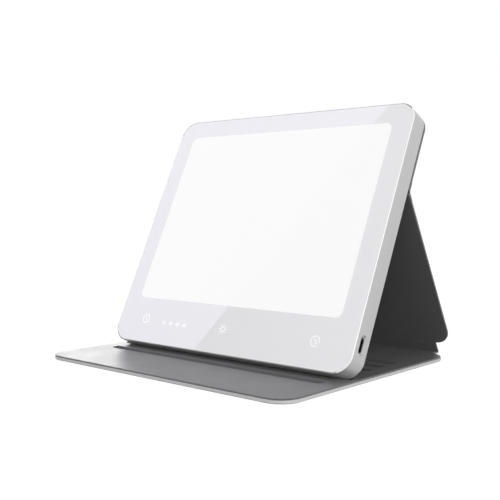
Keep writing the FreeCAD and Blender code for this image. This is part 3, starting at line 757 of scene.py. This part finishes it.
class PANEL_OT_housing(PartOperator, bpy.types.Operator):
    """Painted housing with its rounded rear edge, lip and socket recess; painted highlights on the
    lip and rear edge, painted shade on the lip's left and top
    """

    bl_idname = "light_panel.housing"
    bl_label = "Housing"

    def build(self):
        finishes = settings().finishes
        paint = surface("silver paint", finishes.silver, 0.40, 0.03, 0.05, 3800.0, 0.006 * MM,
                        Metallic=0.15, Specular_IOR_Level=0.3)
        # Painted highlight: the lip glows white
        lip = glowing("painted lip highlight", finishes.bright, WHITE, 0.6, 0.3, Specular_IOR_Level=0.2)
        # Painted highlight along the rounded rear edge: a lighter copy of the silver paint
        rear = surface("rear edge", finishes.worn, 0.32, 0.04, 0.06, 3000.0, Metallic=0.15)
        # Painted shade: a dark copy of the silver paint for the lip's left and top
        shaded = surface("painted lip shade", Vector(finishes.silver) * 0.2, 0.5, 0.03, 0.05, 3000.0,
                         0.002 * MM, Specular_IOR_Level=0.1)
        mesh = merged_copy("rear_housing", "housing_shell")
        self.ease_corners(mesh)
        self.cut_band(mesh)
        self.mark_edges(mesh)
        add_piece("housing_shell", mesh, [paint, lip, rear, shaded], 40, "lamp",
                  ["rear_housing"])

    def inset(self, point, radius):
        """How far a point in the panel's frame lies inside an outline with this corner radius."""
        sizes = settings().sizes
        middle = sizes.height / 2
        x = abs(point.x) - (sizes.half - radius)
        y = abs(point.y - middle) - (middle - radius)
        return radius - (math.hypot(x, y) if x > 0 and y > 0 else max(x, y))

    def ease_corners(self, mesh):
        """Rounds the outer skin's corners from the solids' radius to the larger one."""
        sizes = settings().sizes
        matrix = panel_frame()
        inward = matrix.inverted()
        middle = sizes.height / 2
        across, up = sizes.half - sizes.corner, middle - sizes.corner
        for vertex in mesh.vertices:
            point = inward @ vertex.co
            away = Vector((abs(point.x) - across, abs(point.y - middle) - up))
            inset = self.inset(point, sizes.solid_corner)
            if min(away) > 0 and inset <= SKIN_DEPTH:
                away *= (sizes.corner - inset) / away.length
                point.x = math.copysign(across + away.x, point.x)
                point.y = middle + math.copysign(up + away.y, point.y - middle)
                vertex.co = matrix @ point

    def cut_band(self, mesh):
        """Cuts the outer walls along the rear edge of the bright band that carries the painted
        highlight.
        """
        sizes = settings().sizes
        matrix = panel_frame()
        inward = matrix.inverted()
        level = sizes.depth - sizes.chamfer - sizes.lip_band
        builder = bmesh.new()
        builder.from_mesh(mesh)
        walls = [face for face in builder.faces
                 if self.inset(inward @ face.calc_center_median(), sizes.corner) < WALL_DEPTH]
        edges = {edge for face in walls for edge in face.edges}
        points = {point for face in walls for point in face.verts}
        bmesh.ops.bisect_plane(builder, geom=[*walls, *edges, *points], dist=SAME_POINT,
                               plane_co=matrix @ Vector((0, 0, level)),
                               plane_no=matrix.to_3x3() @ Vector((0, 0, 1)))
        builder.to_mesh(mesh)
        builder.free()

    def mark_edges(self, mesh):
        """Gives the lip with its chamfer and band, and the rear rounding, their painted light: a
        painted highlight on lip faces that look to the front, right or down, painted shade on lip
        faces at the left, at the top or looking up, and a painted highlight on the rear rounding.
        """
        sizes = settings().sizes
        inward = panel_frame().inverted()
        turn = inward.to_3x3()
        front = sizes.depth - sizes.chamfer - sizes.lip_band
        for face in mesh.polygons:
            centre = inward @ face.center
            inset = self.inset(centre, sizes.corner)
            facing = turn @ face.normal
            lip = centre.z > front and inset < sizes.glass_inset - LIP_MARGIN
            left = centre.x < LEFT_MARGIN - sizes.half + sizes.corner
            top = centre.y > sizes.height - sizes.glass_inset
            rear = centre.z < sizes.rear_round and inset < sizes.rear_round
            # Lip faces that look to the front, right or down: painted highlight
            if (lip and HIGHLIGHT_DOWN < facing.y < HIGHLIGHT_UP and facing.x > HIGHLIGHT_LEFT
                    and not left):
                face.material_index = 1
            # Lip faces at the left, at the top or looking up: painted shade
            elif lip and (left or facing.y > SHADED_UP or top):
                face.material_index = 3
            # Rear rounding's faces that look back and out: painted highlight
            elif rear and REAR_BACK < facing.z < REAR_FRONT:
                face.material_index = 2


class PANEL_OT_glass(PartOperator, bpy.types.Operator):
    """Front glass: printed bezel, bright rim and lit window in one flush sheet, with a grey line of
    painted shade along its eased edge
    """

    bl_idname = "light_panel.glass"
    bl_label = "Front glass"

    def build(self):
        sizes, _, finishes, _ = settings()
        outer = (sizes.half, 0.0, sizes.height, sizes.corner, sizes.corner)
        window = (sizes.half - sizes.window_side, sizes.window_bottom,
                  sizes.height - sizes.window_top, sizes.window_corner, sizes.window_corner)
        side = [(0.0, sizes.depth - sizes.glass), *eased_edge(sizes.depth, sizes.glass_edge)]
        rings = [(inset_shape(outer, sizes.glass_inset + inset), height) for inset, height in side]
        rings += [(window, sizes.depth), (inset_shape(window, sizes.window_rim), sizes.depth)]
        mesh = stacked_mesh("front_glass", rings, panel_frame(), [3] * (EDGE_STEPS + 1) + [0, 1, 2])
        bezel = surface("printed bezel", finishes.bezel, 0.006, 0.015, 0.008, 600.0, 0.0001 * MM)
        rim, pane = (glowing(name, (0.1, 0.1, 0.1), finishes.glow, finishes.window_light * share,
                             0.03, Specular_IOR_Level=0.05)
                     for name, share in (("window rim", 1.04), ("lit window", 1.0)))
        # Painted shade: the glass's eased edge is a band of fixed grey glow, a dark line beside the
        # lit bezel; its glow keeps it grey where the panel's edge is in shade
        edge = glowing("glass edge shade line", (0.20, 0.20, 0.202), WHITE, 0.56, 0.1, Specular_IOR_Level=0.2)
        add_piece("front_glass", mesh, [bezel, rim, pane, edge], 35, "lamp",
                  ["front_panel"])


class PANEL_OT_symbols(PartOperator, bpy.types.Operator):
    """Symbols printed along the lower border: clock, minutes, sun and start"""

    bl_idname = "light_panel.symbols"
    bl_label = "Symbols"

    def build(self):
        self.add_strokes("clock_symbol", on_glass(-75.0, 0.4), (
            (arc_points(3.1, 0, 360)[:-1], 1, True),
            (((0.3, 1.7), (0, -0.1), (1.1, -0.9)), 1, False)))
        for x, number in ((-56.3, 15), (-49.4, 30), (-42.6, 45), (-35.9, 60)):
            self.add_number(x, number)
        self.add_strokes("sun_disc", on_glass(0.0), ((arc_points(1.6, 0, 360)[:-1], 1, True),))
        self.add_rays()
        self.add_strokes("start_symbol", on_glass(75.0, 0.15), (
            (arc_points(3.25, -15, 300), 1, False),
            (((-0.4, 2.0), (-0.5, 0.8), (-0.9, 0.2)), 1, False),
            (((0.9, 0.6), (1.3, -0.5), (1.6, -1.9)), 1.2, False),
            (((1.2, -0.4), (0.3, -1.5)), 1, False)))

    def white(self):
        """Finish of the lit symbols."""
        finishes = settings().finishes
        return glowing("lit symbol", (0.75, 0.75, 0.76), finishes.glow, finishes.symbol_light, 0.3)

    def add(self, name, mesh):
        """Prints a mesh as a piece."""
        add_piece(name, mesh, [self.white()], 30, "lamp")

    def add_strokes(self, name, matrix, strokes):
        """Symbol from strokes of (points, share of the line width, closed)."""
        builder = bmesh.new()
        for points, share, closed in strokes:
            add_stroke(builder, points, settings().sizes.stroke * share, closed, matrix)
        self.add(name, new_mesh(name, builder))

    def add_number(self, x, number):
        """Plain number beside the clock."""
        lift = settings().sizes.print_lift
        name = "minutes_%d" % number
        curve = bpy.data.curves.new(name, "FONT")
        curve.body = str(number)
        curve.size = 3.6 * MM
        curve.extrude = lift / 2
        curve.align_x = curve.align_y = "CENTER"
        mesh = evaluated_mesh(name, bpy.data.objects.new("minutes holder", curve))
        mesh.transform(on_glass(x, -1.2) @ Matrix.Translation((0, 0, lift / 2)))
        self.add(name, mesh)

    def add_rays(self):
        """Ring of rays round the sun."""
        sizes = settings().sizes
        rays = grown_mesh("sun_rays", ray_tree("symbol rays"), {
            "Count": 8, "Radius": 2.85 * MM, "Length": 1.1 * MM, "Width": sizes.stroke,
            "Thickness": sizes.print_lift, "Material": self.white()})
        rays.transform(on_glass(0.0) @ Matrix.Translation((0, 0, sizes.print_lift / 2)))
        self.add("sun_rays", rays)


class PANEL_OT_socket(PartOperator, bpy.types.Operator):
    """Charging socket: drawn shell darkened as painted shade, dark tongue and its rows of contacts,
    and a dark ring of painted shade round its mouth
    """

    bl_idname = "light_panel.socket"
    bl_label = "Charging socket"

    def build(self):
        # Painted shade: the socket's shell is near-black steel so its mouth reads as shade
        steel = surface("shade-darkened steel", (0.05, 0.05, 0.052), 0.35, 0.06, 0.12, 1200.0,
                        Metallic=1.0)
        dark = surface("dark moulding and painted shade", (0.018, 0.018, 0.019), 0.5, 0.1)
        gold = surface("contact gold", (0.83, 0.60, 0.26), 0.22, 0.08, 0.1, 1800.0, Metallic=1.0)
        add_piece("socket_shell", merged_copy("usb_c_shell", "socket_shell"), [steel], 40,
                  "lamp", ["usb_c_shell"])
        dress("usb_c_tongue", dark)
        contacts = grown_mesh("socket_contacts", contact_tree("socket contacts"), {
            "Count": 12, "Pitch": 0.5 * MM, "Size": (3.6 * MM, 0.24 * MM, 0.05 * MM),
            "Face Gap": 0.72 * MM, "Material": gold})
        low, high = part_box("usb_c_tongue")
        middle = (low + high) / 2
        turn = Matrix.Rotation(math.radians(90) - settings().sizes.tilt, 4, "X")
        contacts.transform(Matrix.Translation((high.x - CONTACT_BEHIND, middle.y, middle.z)) @ turn)
        add_piece("socket_contacts", contacts, [gold], 30, "lamp")
        # Painted shade: a dark ring round the socket's mouth, in the tongue's dark moulding
        add_piece("socket_shade_ring", self.collar(), [dark], 40, "lamp")

    def collar(self):
        """Dark ring of painted shade that lines the socket's mouth and laps on to the recess's
        floor.
        """
        sizes = settings().sizes
        matrix = panel_frame() @ Matrix.Translation((sizes.half - RECESS_DEPTH, sizes.port_up,
                                                     sizes.port_height))
        builder = bmesh.new()
        rings = []
        for length, width, lift in SHADE_RING:
            radius, run = width / 2 * MM, (length - width) / 2 * MM
            rings.append([builder.verts.new(matrix @ Vector((
                lift * MM, end * (run + radius * math.sin(turn)), end * radius * math.cos(turn))))
                for end in (1, -1) for turn in arc(SOCKET_STEPS, 0, 180)])
        skin(builder, rings + rings[:1])
        return new_mesh("socket_shade_ring", builder)


class PANEL_OT_inner(PartOperator, bpy.types.Operator):
    """Finishes of the parts inside the panel and the cover"""

    bl_idname = "light_panel.inner"
    bl_label = "Inner parts"

    def build(self):
        board = printed_board("printed board")
        phosphor = glowing("phosphor", (0.90, 0.74, 0.24), (1.0, 0.93, 0.75), 1.2, 0.4)
        amber = surface("amber film", (0.42, 0.19, 0.035), 0.3, 0.12, 0.08, 700.0)
        zinc = surface("plated screw", (0.50, 0.50, 0.51), 0.3, 0.08, 0.14, 1500.0, Metallic=1.0)
        nickel = surface("plated magnet", (0.62, 0.61, 0.59), 0.16, 0.05, 0.1, 800.0, Metallic=1.0)
        grey = surface("grey board", (0.13, 0.125, 0.12), 0.85, 0.2, 0.06, 900.0, 0.04 * MM)
        for node, material in {
                "bezel_mask": surface("printed film", (0.72, 0.72, 0.735), 0.35, 0.02, 0.05, 900.0,
                                      0.002 * MM),
                "chassis": surface("white moulding", (0.80, 0.80, 0.79), 0.5, 0.04, 0.08, 1600.0,
                                   0.01 * MM),
                "diffuser_sheet": glowing("milky sheet", (0.88, 0.88, 0.88), (1.0, 0.99, 0.97), 0.5,
                                          0.6),
                "light_guide": surface("clear guide", (0.93, 0.95, 0.96), 0.05, 0.02, 0.02, 500.0,
                                       0.001 * MM, Transmission_Weight=0.9, IOR=1.49),
                "reflector_sheet": surface("reflector film", (0.93, 0.93, 0.93), 0.22, 0.02, 0.08,
                                           900.0),
                "driver_parts": surface("moulded chips", (0.025, 0.025, 0.027), 0.42, 0.12, 0.1,
                                        2400.0),
                "panel_adhesive": surface("foam tape", (0.62, 0.62, 0.60), 0.75, 0.08, 0.06, 3200.0,
                                          0.03 * MM),
                "led_boards": board, "main_board": board, "touch_board": board,
                "led_chips": phosphor, "icon_leds": phosphor, "touch_flex": amber,
                "led_leads": amber, "frame_screws": zinc, "board_screws": zinc,
                "lamp_magnets": nickel, "cover_magnets": nickel, "panel_board": grey,
                "leg_board": grey}.items():
            dress(node, material)


class PANEL_OT_base(PartOperator, bpy.types.Operator):
    """Base cover: pale plate and the soft lining with its pressed grooves, darkened inside by
    painted shade
    """

    bl_idname = "light_panel.base"
    bl_label = "Base cover"

    def build(self):
        finishes = settings().finishes
        pale = surface("pale plate", finishes.plate, 0.4, 0.03, 0.05, 3000.0, 0.005 * MM)
        add_piece("base_tray", merged_copy("base_plate", "base_tray"), [pale], 30,
                  "base_cover", ["base_plate"])
        # Painted shade: a darker copy of the cover, 0.74 of its colour, for the grooves' insides
        pressed = covering("painted groove shade", Vector(finishes.cover) * 0.74, 0.6)
        add_piece("base_pad", self.lining(), [soft_cover(), pressed], 50,
                  "base_cover", ["base_lining"])

    def grooves(self):
        """Each groove as (centre line, half length, half width)."""
        cover = settings().cover
        width = cover.groove_width / 2
        return [(cover.seat - FRONT_STEP, GROOVE_HALF, width), (cover.seat, SEAT_HALF, SEAT_WIDTH),
                *((cover.seat + number * REAR_STEP, GROOVE_HALF, width) for number in REAR_GROOVES)]

    def drop(self, x, y, grooves):
        """How far the lining is pressed down at a point."""
        deepest = 0.0
        for centre, half, width in grooves:
            gap = math.hypot(max(abs(x) - (half - width), 0.0), y - centre) - width
            share = min(max((LIP_OUT - gap) / (LIP_OUT + LIP_IN), 0.0), 1.0)
            deepest = max(deepest, share * share * (3 - 2 * share))
        return settings().cover.groove_depth * deepest

    def slope(self, x, y, grooves):
        """How far the lining slopes down at a point in front of a pressed groove."""
        deepest = 0.0
        for centre, half, width in grooves:
            if half < SEAT_HALF:
                beyond = max(abs(x) - (half - width - SLOPE_RUN / 2), 0.0)
                gap = math.hypot(beyond, y - centre + SLOPE_RUN / 2) - width - SLOPE_RUN / 2
                deepest = max(deepest, min(-gap / SLOPE_SIDE, 1.0))
        return SLOPE_DEPTH * deepest

    def rows(self, reach, radius, grooves):
        """Rows across the lining as (y, half width, outward angle)."""
        sizes, cover, _, _ = settings()
        half = sizes.half - (cover.base_depth / 2 - reach)
        found = []
        for turn in arc(LINING_STEPS):
            y = reach - radius + radius * math.cos(turn)
            width = half - radius + radius * math.sin(turn)
            found += [(y, width, QUARTER - turn), (-y, width, turn - QUARTER)]
        lines = set()
        for centre, _, width in grooves:
            steps = [0.0] + [side * (width + row * MM) for row in ROWS for side in (-1, 1)]
            steps += [-width - row * MM for row in SLOPE_ROWS]
            lines |= {round(centre + step, 7) for step in steps}
        for number in range(-6, 7):
            y = number * ROW_PITCH
            if min(abs(y - line) for line in lines) > ROW_CLEAR:
                lines.add(y)
        return sorted(found + [(y, half, 0.0) for y in lines])

    def columns(self, half):
        """Places across a row as shares of its half width."""
        lines = {number * COLUMN_PITCH for number in range(9)}
        lines |= {reach + column * MM for reach in (GROOVE_HALF, SEAT_HALF) for column in COLUMNS}
        lines = {x for x in lines if x < half - COLUMN_CLEAR} | {half}
        return sorted([-x / half for x in lines if x > 0] + [x / half for x in lines])

    def lining(self):
        """Soft sheet over the plate, pressed into each groove, with a rolled edge."""
        cover = settings().cover
        reach = cover.base_depth / 2 - cover.lining_inset - ROLL
        grooves = self.grooves()
        rows = self.rows(reach, cover.base_corner - cover.lining_inset - ROLL, grooves)
        half = max(width for _, width, _ in rows)
        shares = self.columns(half)
        builder = bmesh.new()
        top, under = [], []
        for y, width, _ in rows:
            top.append([])
            under.append([])
            for x in (share * width for share in shares):
                drop = self.drop(x, y, grooves)
                high = cover.base_top - max(drop, self.slope(x, y, grooves))
                low = cover.base_plate - max(drop - PRESSED, 0.0)
                top[-1].append(builder.verts.new((x, y, high)))
                under[-1].append(builder.verts.new((x, y, low)))
        skin(builder, top, closed=False)
        skin(builder, under[::-1], closed=False)
        skin(builder, self.rolled_edge(builder, top, under, rows)[::-1])
        bmesh.ops.remove_doubles(builder, verts=builder.verts, dist=SAME_POINT)
        mesh = new_mesh("base_pad", builder)
        # Faces below the lining's top, inside its edge, take the darker copy: painted shade in the
        # grooves and on the slopes before them
        for face in mesh.polygons:
            inside = abs(face.center.x) < half - MM and abs(face.center.y) < reach - MM
            if inside and face.center.z < cover.base_top - 0.1 * MM and face.normal.z > -0.1:
                face.material_index = 1
        return mesh

    def rolled_edge(self, builder, top, under, rows):
        """Rings of points from the rim of the upper sheet round the edge to the lower one's."""
        row_end, column_end = len(rows) - 1, len(top[0]) - 1
        rim = [(0, column) for column in range(column_end)]
        rim += [(row, column_end) for row in range(row_end)]
        rim += [(row_end, column) for column in range(column_end, 0, -1)]
        rim += [(row, 0) for row in range(row_end, 0, -1)]
        points = []
        for row, column in rim:
            y, _, angle = rows[row]
            if 0 < column < column_end:
                angle = math.copysign(QUARTER, y)
            side = -1 if column == 0 else 1
            points.append((top[row][column], under[row][column],
                           Vector((side * math.cos(angle), math.sin(angle), 0)) * ROLL))
        rings = [[upper for upper, _, _ in points]]
        for turn in arc(EDGE_STEPS)[1:]:
            fall = Vector((0, 0, ROLL * (1 - math.cos(turn))))
            rings.append([builder.verts.new(upper.co + away * math.sin(turn) - fall)
                          for upper, _, away in points])
        rings.append([builder.verts.new(lower.co + away) for _, lower, away in points])
        return rings + [[lower for _, lower, _ in points]]


class PANEL_OT_boards(PartOperator, bpy.types.Operator):
    """Covered boards: the panel on the lamp's back and the leg below it"""

    bl_idname = "light_panel.boards"
    bl_label = "Covered boards"

    def build(self):
        sizes, cover, _, _ = settings()
        half = sizes.half - cover.inset
        profile = [(inset, -cover.board - height)
                   for inset, height in reversed(eased_edge(0.0, OUTER_ROUND))]
        profile += [(0.0, SEAM_AT - SEAM_WIDTH), (SEAM_DEPTH, SEAM_AT), (0.0, SEAM_AT + SEAM_WIDTH)]
        profile += eased_edge(0.0, INNER_ROUND)
        leg = (half, cover.fold_up - cover.leg_length, cover.fold_up - cover.fold_gap,
               sizes.solid_corner, SQUARE)
        panel = (half, cover.fold_up + cover.fold_gap, sizes.height - cover.inset,
                 SQUARE, sizes.corner - cover.inset)
        for name, shape, matrix, body, nodes in (
                ("leg_cover", leg, leg_frame(), "leg_panel", ["leg_skin", "leg_lining"]),
                ("back_cover", panel, panel_frame(), "lamp", ["panel_skin"])):
            rings = [(inset_shape(shape, inset), height) for inset, height in profile]
            add_piece(name, stacked_mesh(name, rings, matrix), [soft_cover()], 50,
                      body, nodes)


class PANEL_OT_folds(PartOperator, bpy.types.Operator):
    """Soft strips drawn bent: the spine behind the base and the fold across the back"""

    bl_idname = "light_panel.folds"
    bl_label = "Folds"

    def build(self):
        self.spine()
        self.back_fold()

    def spine(self):
        """Spine from the base's rear edge round the crease and up to the leg."""
        cover = settings().cover
        thick = cover.spine_thickness
        pivot = PIVOTS["spine_crease"].yz
        away, rise = along(leg_frame(), (0, 0, -1)), along(leg_frame(), (0, 1, 0))
        up = Vector((0, 1))
        level = cover.base_plate - TONGUE / 2
        line = [(Vector((cover.base_depth / 2 - gap * MM, level)), up, TONGUE)
                for gap in (8, 0.25)]
        line += [(pivot + Vector((-gap * MM, -thick / 2)), up, thick)
                 for gap in (7.4, 5.4, 3.7, 2.2, 1.1)]
        radius = (thick + CREASE_CORE) / 2
        stop = math.degrees(math.atan2(away.y, away.x))
        for angle in arc(CREASE_STEPS, -90, stop):
            spoke = Vector((math.cos(angle), math.sin(angle)))
            line.append((pivot + spoke * radius, -spoke, thick - CREASE_CORE))
        line += [(pivot + away * (thick / 2) + rise * (gap * MM), -away, thick)
                 for gap in (1.1, 2.2, 3.6, 5.2, 6.9, 7.7)]
        line += [(pivot + away * TONGUE + rise * (gap * MM), -away, TONGUE)
                 for gap in (8.05, 15.8)]
        mesh = ribbon_mesh("spine_cover", line, cover.spine_half, SPINE_END)
        piece = add_piece("spine_cover", mesh, [soft_cover()], 60,
                          nodes=["hinge_strip_lower", "hinge_strip_upper"])
        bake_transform(piece)

    def back_fold(self):
        """Thin skin over the fold between the panel on the lamp's back and the leg."""
        cover = settings().cover
        depth = -cover.board - FOLD_SKIN / 2 + FOLD_LAP
        reach = (6.5, 6.0, 4.5, 3.0, 1.8, 1.0)
        upper, lower = ([((matrix @ Vector((0, cover.fold_up + gap * MM * side, depth))).yz,
                          along(matrix, (0, 0, -1)), FOLD_TIP if gap == reach[0] else FOLD_SKIN)
                         for gap in reach]
                        for matrix, side in ((panel_frame(), 1), (leg_frame(), -1)))
        (end, end_out, _), (start, start_out, _) = upper[-1], lower[-1]
        pivot = PIVOTS["back_fold"].yz
        bend = []
        for share in (step / FOLD_STEPS for step in range(1, FOLD_STEPS)):
            at = (end * (1 - share) ** 2 + pivot * (2 * share * (1 - share))
                  + start * share ** 2)
            bend.append((at, end_out.lerp(start_out, share), FOLD_SKIN))
        mesh = ribbon_mesh("fold_cover", upper + bend + lower[::-1], FOLD_HALF, FOLD_END)
        piece = add_piece("fold_cover", mesh, [soft_cover()], 60)
        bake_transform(piece)


class PANEL_OT_stage(PartOperator, bpy.types.Operator):
    """Pale floor, lamps, sky and camera"""

    bl_idname = "light_panel.stage"
    bl_label = "Stage"

    def build(self):
        self.floor()
        self.sky()
        self.lamps()
        self.camera()
        bpy.context.scene.view_settings.view_transform = "Standard"

    def place(self, name, data):
        """Object of the stage."""
        item = bpy.data.objects.new(name, data)
        bpy.context.scene.collection.objects.link(item)
        return item

    def seen_rays(self, tree):
        """1 for rays from the camera, from gloss and through clear parts."""
        path = tree.nodes.new("ShaderNodeLightPath").outputs
        return calculate(tree, "MAXIMUM", path["Is Camera Ray"], calculate(
            tree, "MAXIMUM", path["Is Glossy Ray"], path["Is Transmission Ray"]))

    def floor(self):
        """Wide floor that looks pale and still takes the shadow."""
        reach, level = 6.0, -0.02 * MM
        mesh = bpy.data.meshes.new("floor")
        mesh.from_pydata([(x * reach, y * reach, level)
                          for x, y in ((-1, -1), (1, -1), (1, 1), (-1, 1))], [], [(0, 1, 2, 3)])
        material = bpy.data.materials.new("pale floor")
        tree = empty_tree(material)
        matte = add_node(tree, "ShaderNodeBsdfDiffuse", {"Color": (0.25, 0.25, 0.25, 1)})
        glow = add_node(tree, "ShaderNodeEmission", {
            "Strength": calculate(tree, "MULTIPLY", self.seen_rays(tree), 0.92)})
        both = add_node(tree, "ShaderNodeAddShader", {0: matte.outputs["BSDF"],
                                                      1: glow.outputs["Emission"]})
        add_node(tree, "ShaderNodeOutputMaterial", {"Surface": both.outputs["Shader"]})
        mesh.materials.append(material)
        floor = self.place("floor", mesh)

    def sky(self):
        """Sky that is brighter at the horizon, and white where it is seen."""
        stage = settings().stage
        world = bpy.data.worlds.new("studio")
        bpy.context.scene.world = world
        tree = empty_tree(world)
        aim = tree.nodes.new("ShaderNodeTexCoord")
        split = add_node(tree, "ShaderNodeSeparateXYZ", {"Vector": aim.outputs["Generated"]})
        rise = calculate(tree, "MAXIMUM", split.outputs["Z"], 0.0)
        dim = calculate(tree, "MULTIPLY_ADD", rise, stage.sky - stage.horizon, stage.horizon)
        seen = self.seen_rays(tree)
        unseen = calculate(tree, "SUBTRACT", 1.0, seen)
        glow = add_node(tree, "ShaderNodeBackground", {
            "Color": (1, 1, 1, 1), "Strength": calculate(tree, "MULTIPLY_ADD", dim, unseen, seen)})
        add_node(tree, "ShaderNodeOutputWorld", {"Surface": glow.outputs["Background"]})

    def lamp(self, name, power, size, across, upward, place, colour=WHITE):
        """Rectangular lamp with sides across and upward, which faces against their product."""
        light = bpy.data.lights.new(name, "AREA")
        light.shape = "RECTANGLE"
        light.size, light.size_y = size
        light.energy = power
        light.color = colour
        lamp = self.place(name, light)
        x_axis, y_axis = Vector(across).normalized(), Vector(upward).normalized()
        turn = Matrix((x_axis, y_axis, x_axis.cross(y_axis))).transposed().to_4x4()
        lamp.matrix_world = Matrix.Translation(place) @ turn
        lamp.visible_camera = False
        return lamp

    def lamps(self):
        """Large softbox with a card before it that only the glass mirrors, and smaller lamps."""
        stage = settings().stage
        large = ((0.9, 1.5), (0.628, -0.777, -0.029), (0.481, 0.359, 0.801))
        soft = self.lamp("softbox left", stage.softbox, *large, (-1.009, -0.283, 0.828))
        soft.visible_glossy = False
        card = self.lamp("sheen card", stage.sheen, *large, (-0.978, -0.257, 0.798),
                         stage.sheen_colour)
        card.visible_diffuse = False
        self.lamp("rim", stage.rim, (1.3, 0.5), (-0.53, -0.85, 0.0), (0.0, 0.0, 1.0),
                  (-1.36, 0.85, 0.28))
        self.lamp("low right", stage.low, (0.9, 0.6), (0.78, 0.62, 0.0), (-0.1, 0.13, 0.98),
                  (0.95, -0.62, 0.20))
        self.lamp("fill right", stage.fill, (0.7, 0.7), (0.3, 0.95, 0.0), (-0.4, 0.13, 0.9),
                  (1.1, -0.35, 0.5))
        self.lamp("back right", stage.back, (0.8, 0.8), (-0.70, 0.70, 0.0), (-0.35, -0.35, 0.87),
                  (0.9, 0.9, 0.55))
        self.lamp("front", stage.front, (1.1, 0.8), (0.96, 0.28, 0.0), (-0.16, 0.55, 0.82),
                  (0.45, -1.45, 0.85))

    def camera(self):
        """Camera of the scene."""
        stage = settings().stage
        data = bpy.data.cameras.new("camera")
        data.lens = stage.lens
        data.sensor_width = 36.0
        data.clip_start = 0.01
        camera = self.place("camera", data)
        camera.location = stage.camera_at
        camera.rotation_euler = stage.camera_turn
        bpy.context.scene.camera = camera


class PANEL_PT_parts(bpy.types.Panel):
    """Sidebar panel with one button for each group of parts"""

    bl_label = "Light Panel"
    bl_space_type = "VIEW_3D"
    bl_region_type = "UI"
    bl_category = "Light Panel"

    def draw(self, context):
        for operator in OPERATORS:
            self.layout.operator(operator.bl_idname)
        for group in settings():
            box = self.layout.box()
            for name in group.bl_rna.properties.keys():
                if name not in ("rna_type", "name"):
                    box.prop(group, name)


GROUPS = (("panel_sizes", PanelSizes), ("cover_sizes", CoverSizes),
          ("panel_finishes", Finishes), ("panel_stage", StageSettings))
OPERATORS = (PANEL_OT_inner, PANEL_OT_housing, PANEL_OT_glass, PANEL_OT_symbols, PANEL_OT_socket,
             PANEL_OT_base, PANEL_OT_boards, PANEL_OT_folds, PANEL_OT_stage)


def register():
    for name, group in GROUPS:
        bpy.utils.register_class(group)
        setattr(bpy.types.Scene, name, PointerProperty(type=group))
    for operator in OPERATORS:
        bpy.utils.register_class(operator)
    bpy.utils.register_class(PANEL_PT_parts)


def unregister():
    bpy.utils.unregister_class(PANEL_PT_parts)
    for operator in reversed(OPERATORS):
        bpy.utils.unregister_class(operator)
    for name, group in reversed(GROUPS):
        delattr(bpy.types.Scene, name)
        bpy.utils.unregister_class(group)


def main():
    """Makes every part in order."""
    register()
    for operator in OPERATORS:
        category, name = operator.bl_idname.split(".")
        getattr(getattr(bpy.ops, category), name)()


if __name__ == "__main__":
    main()
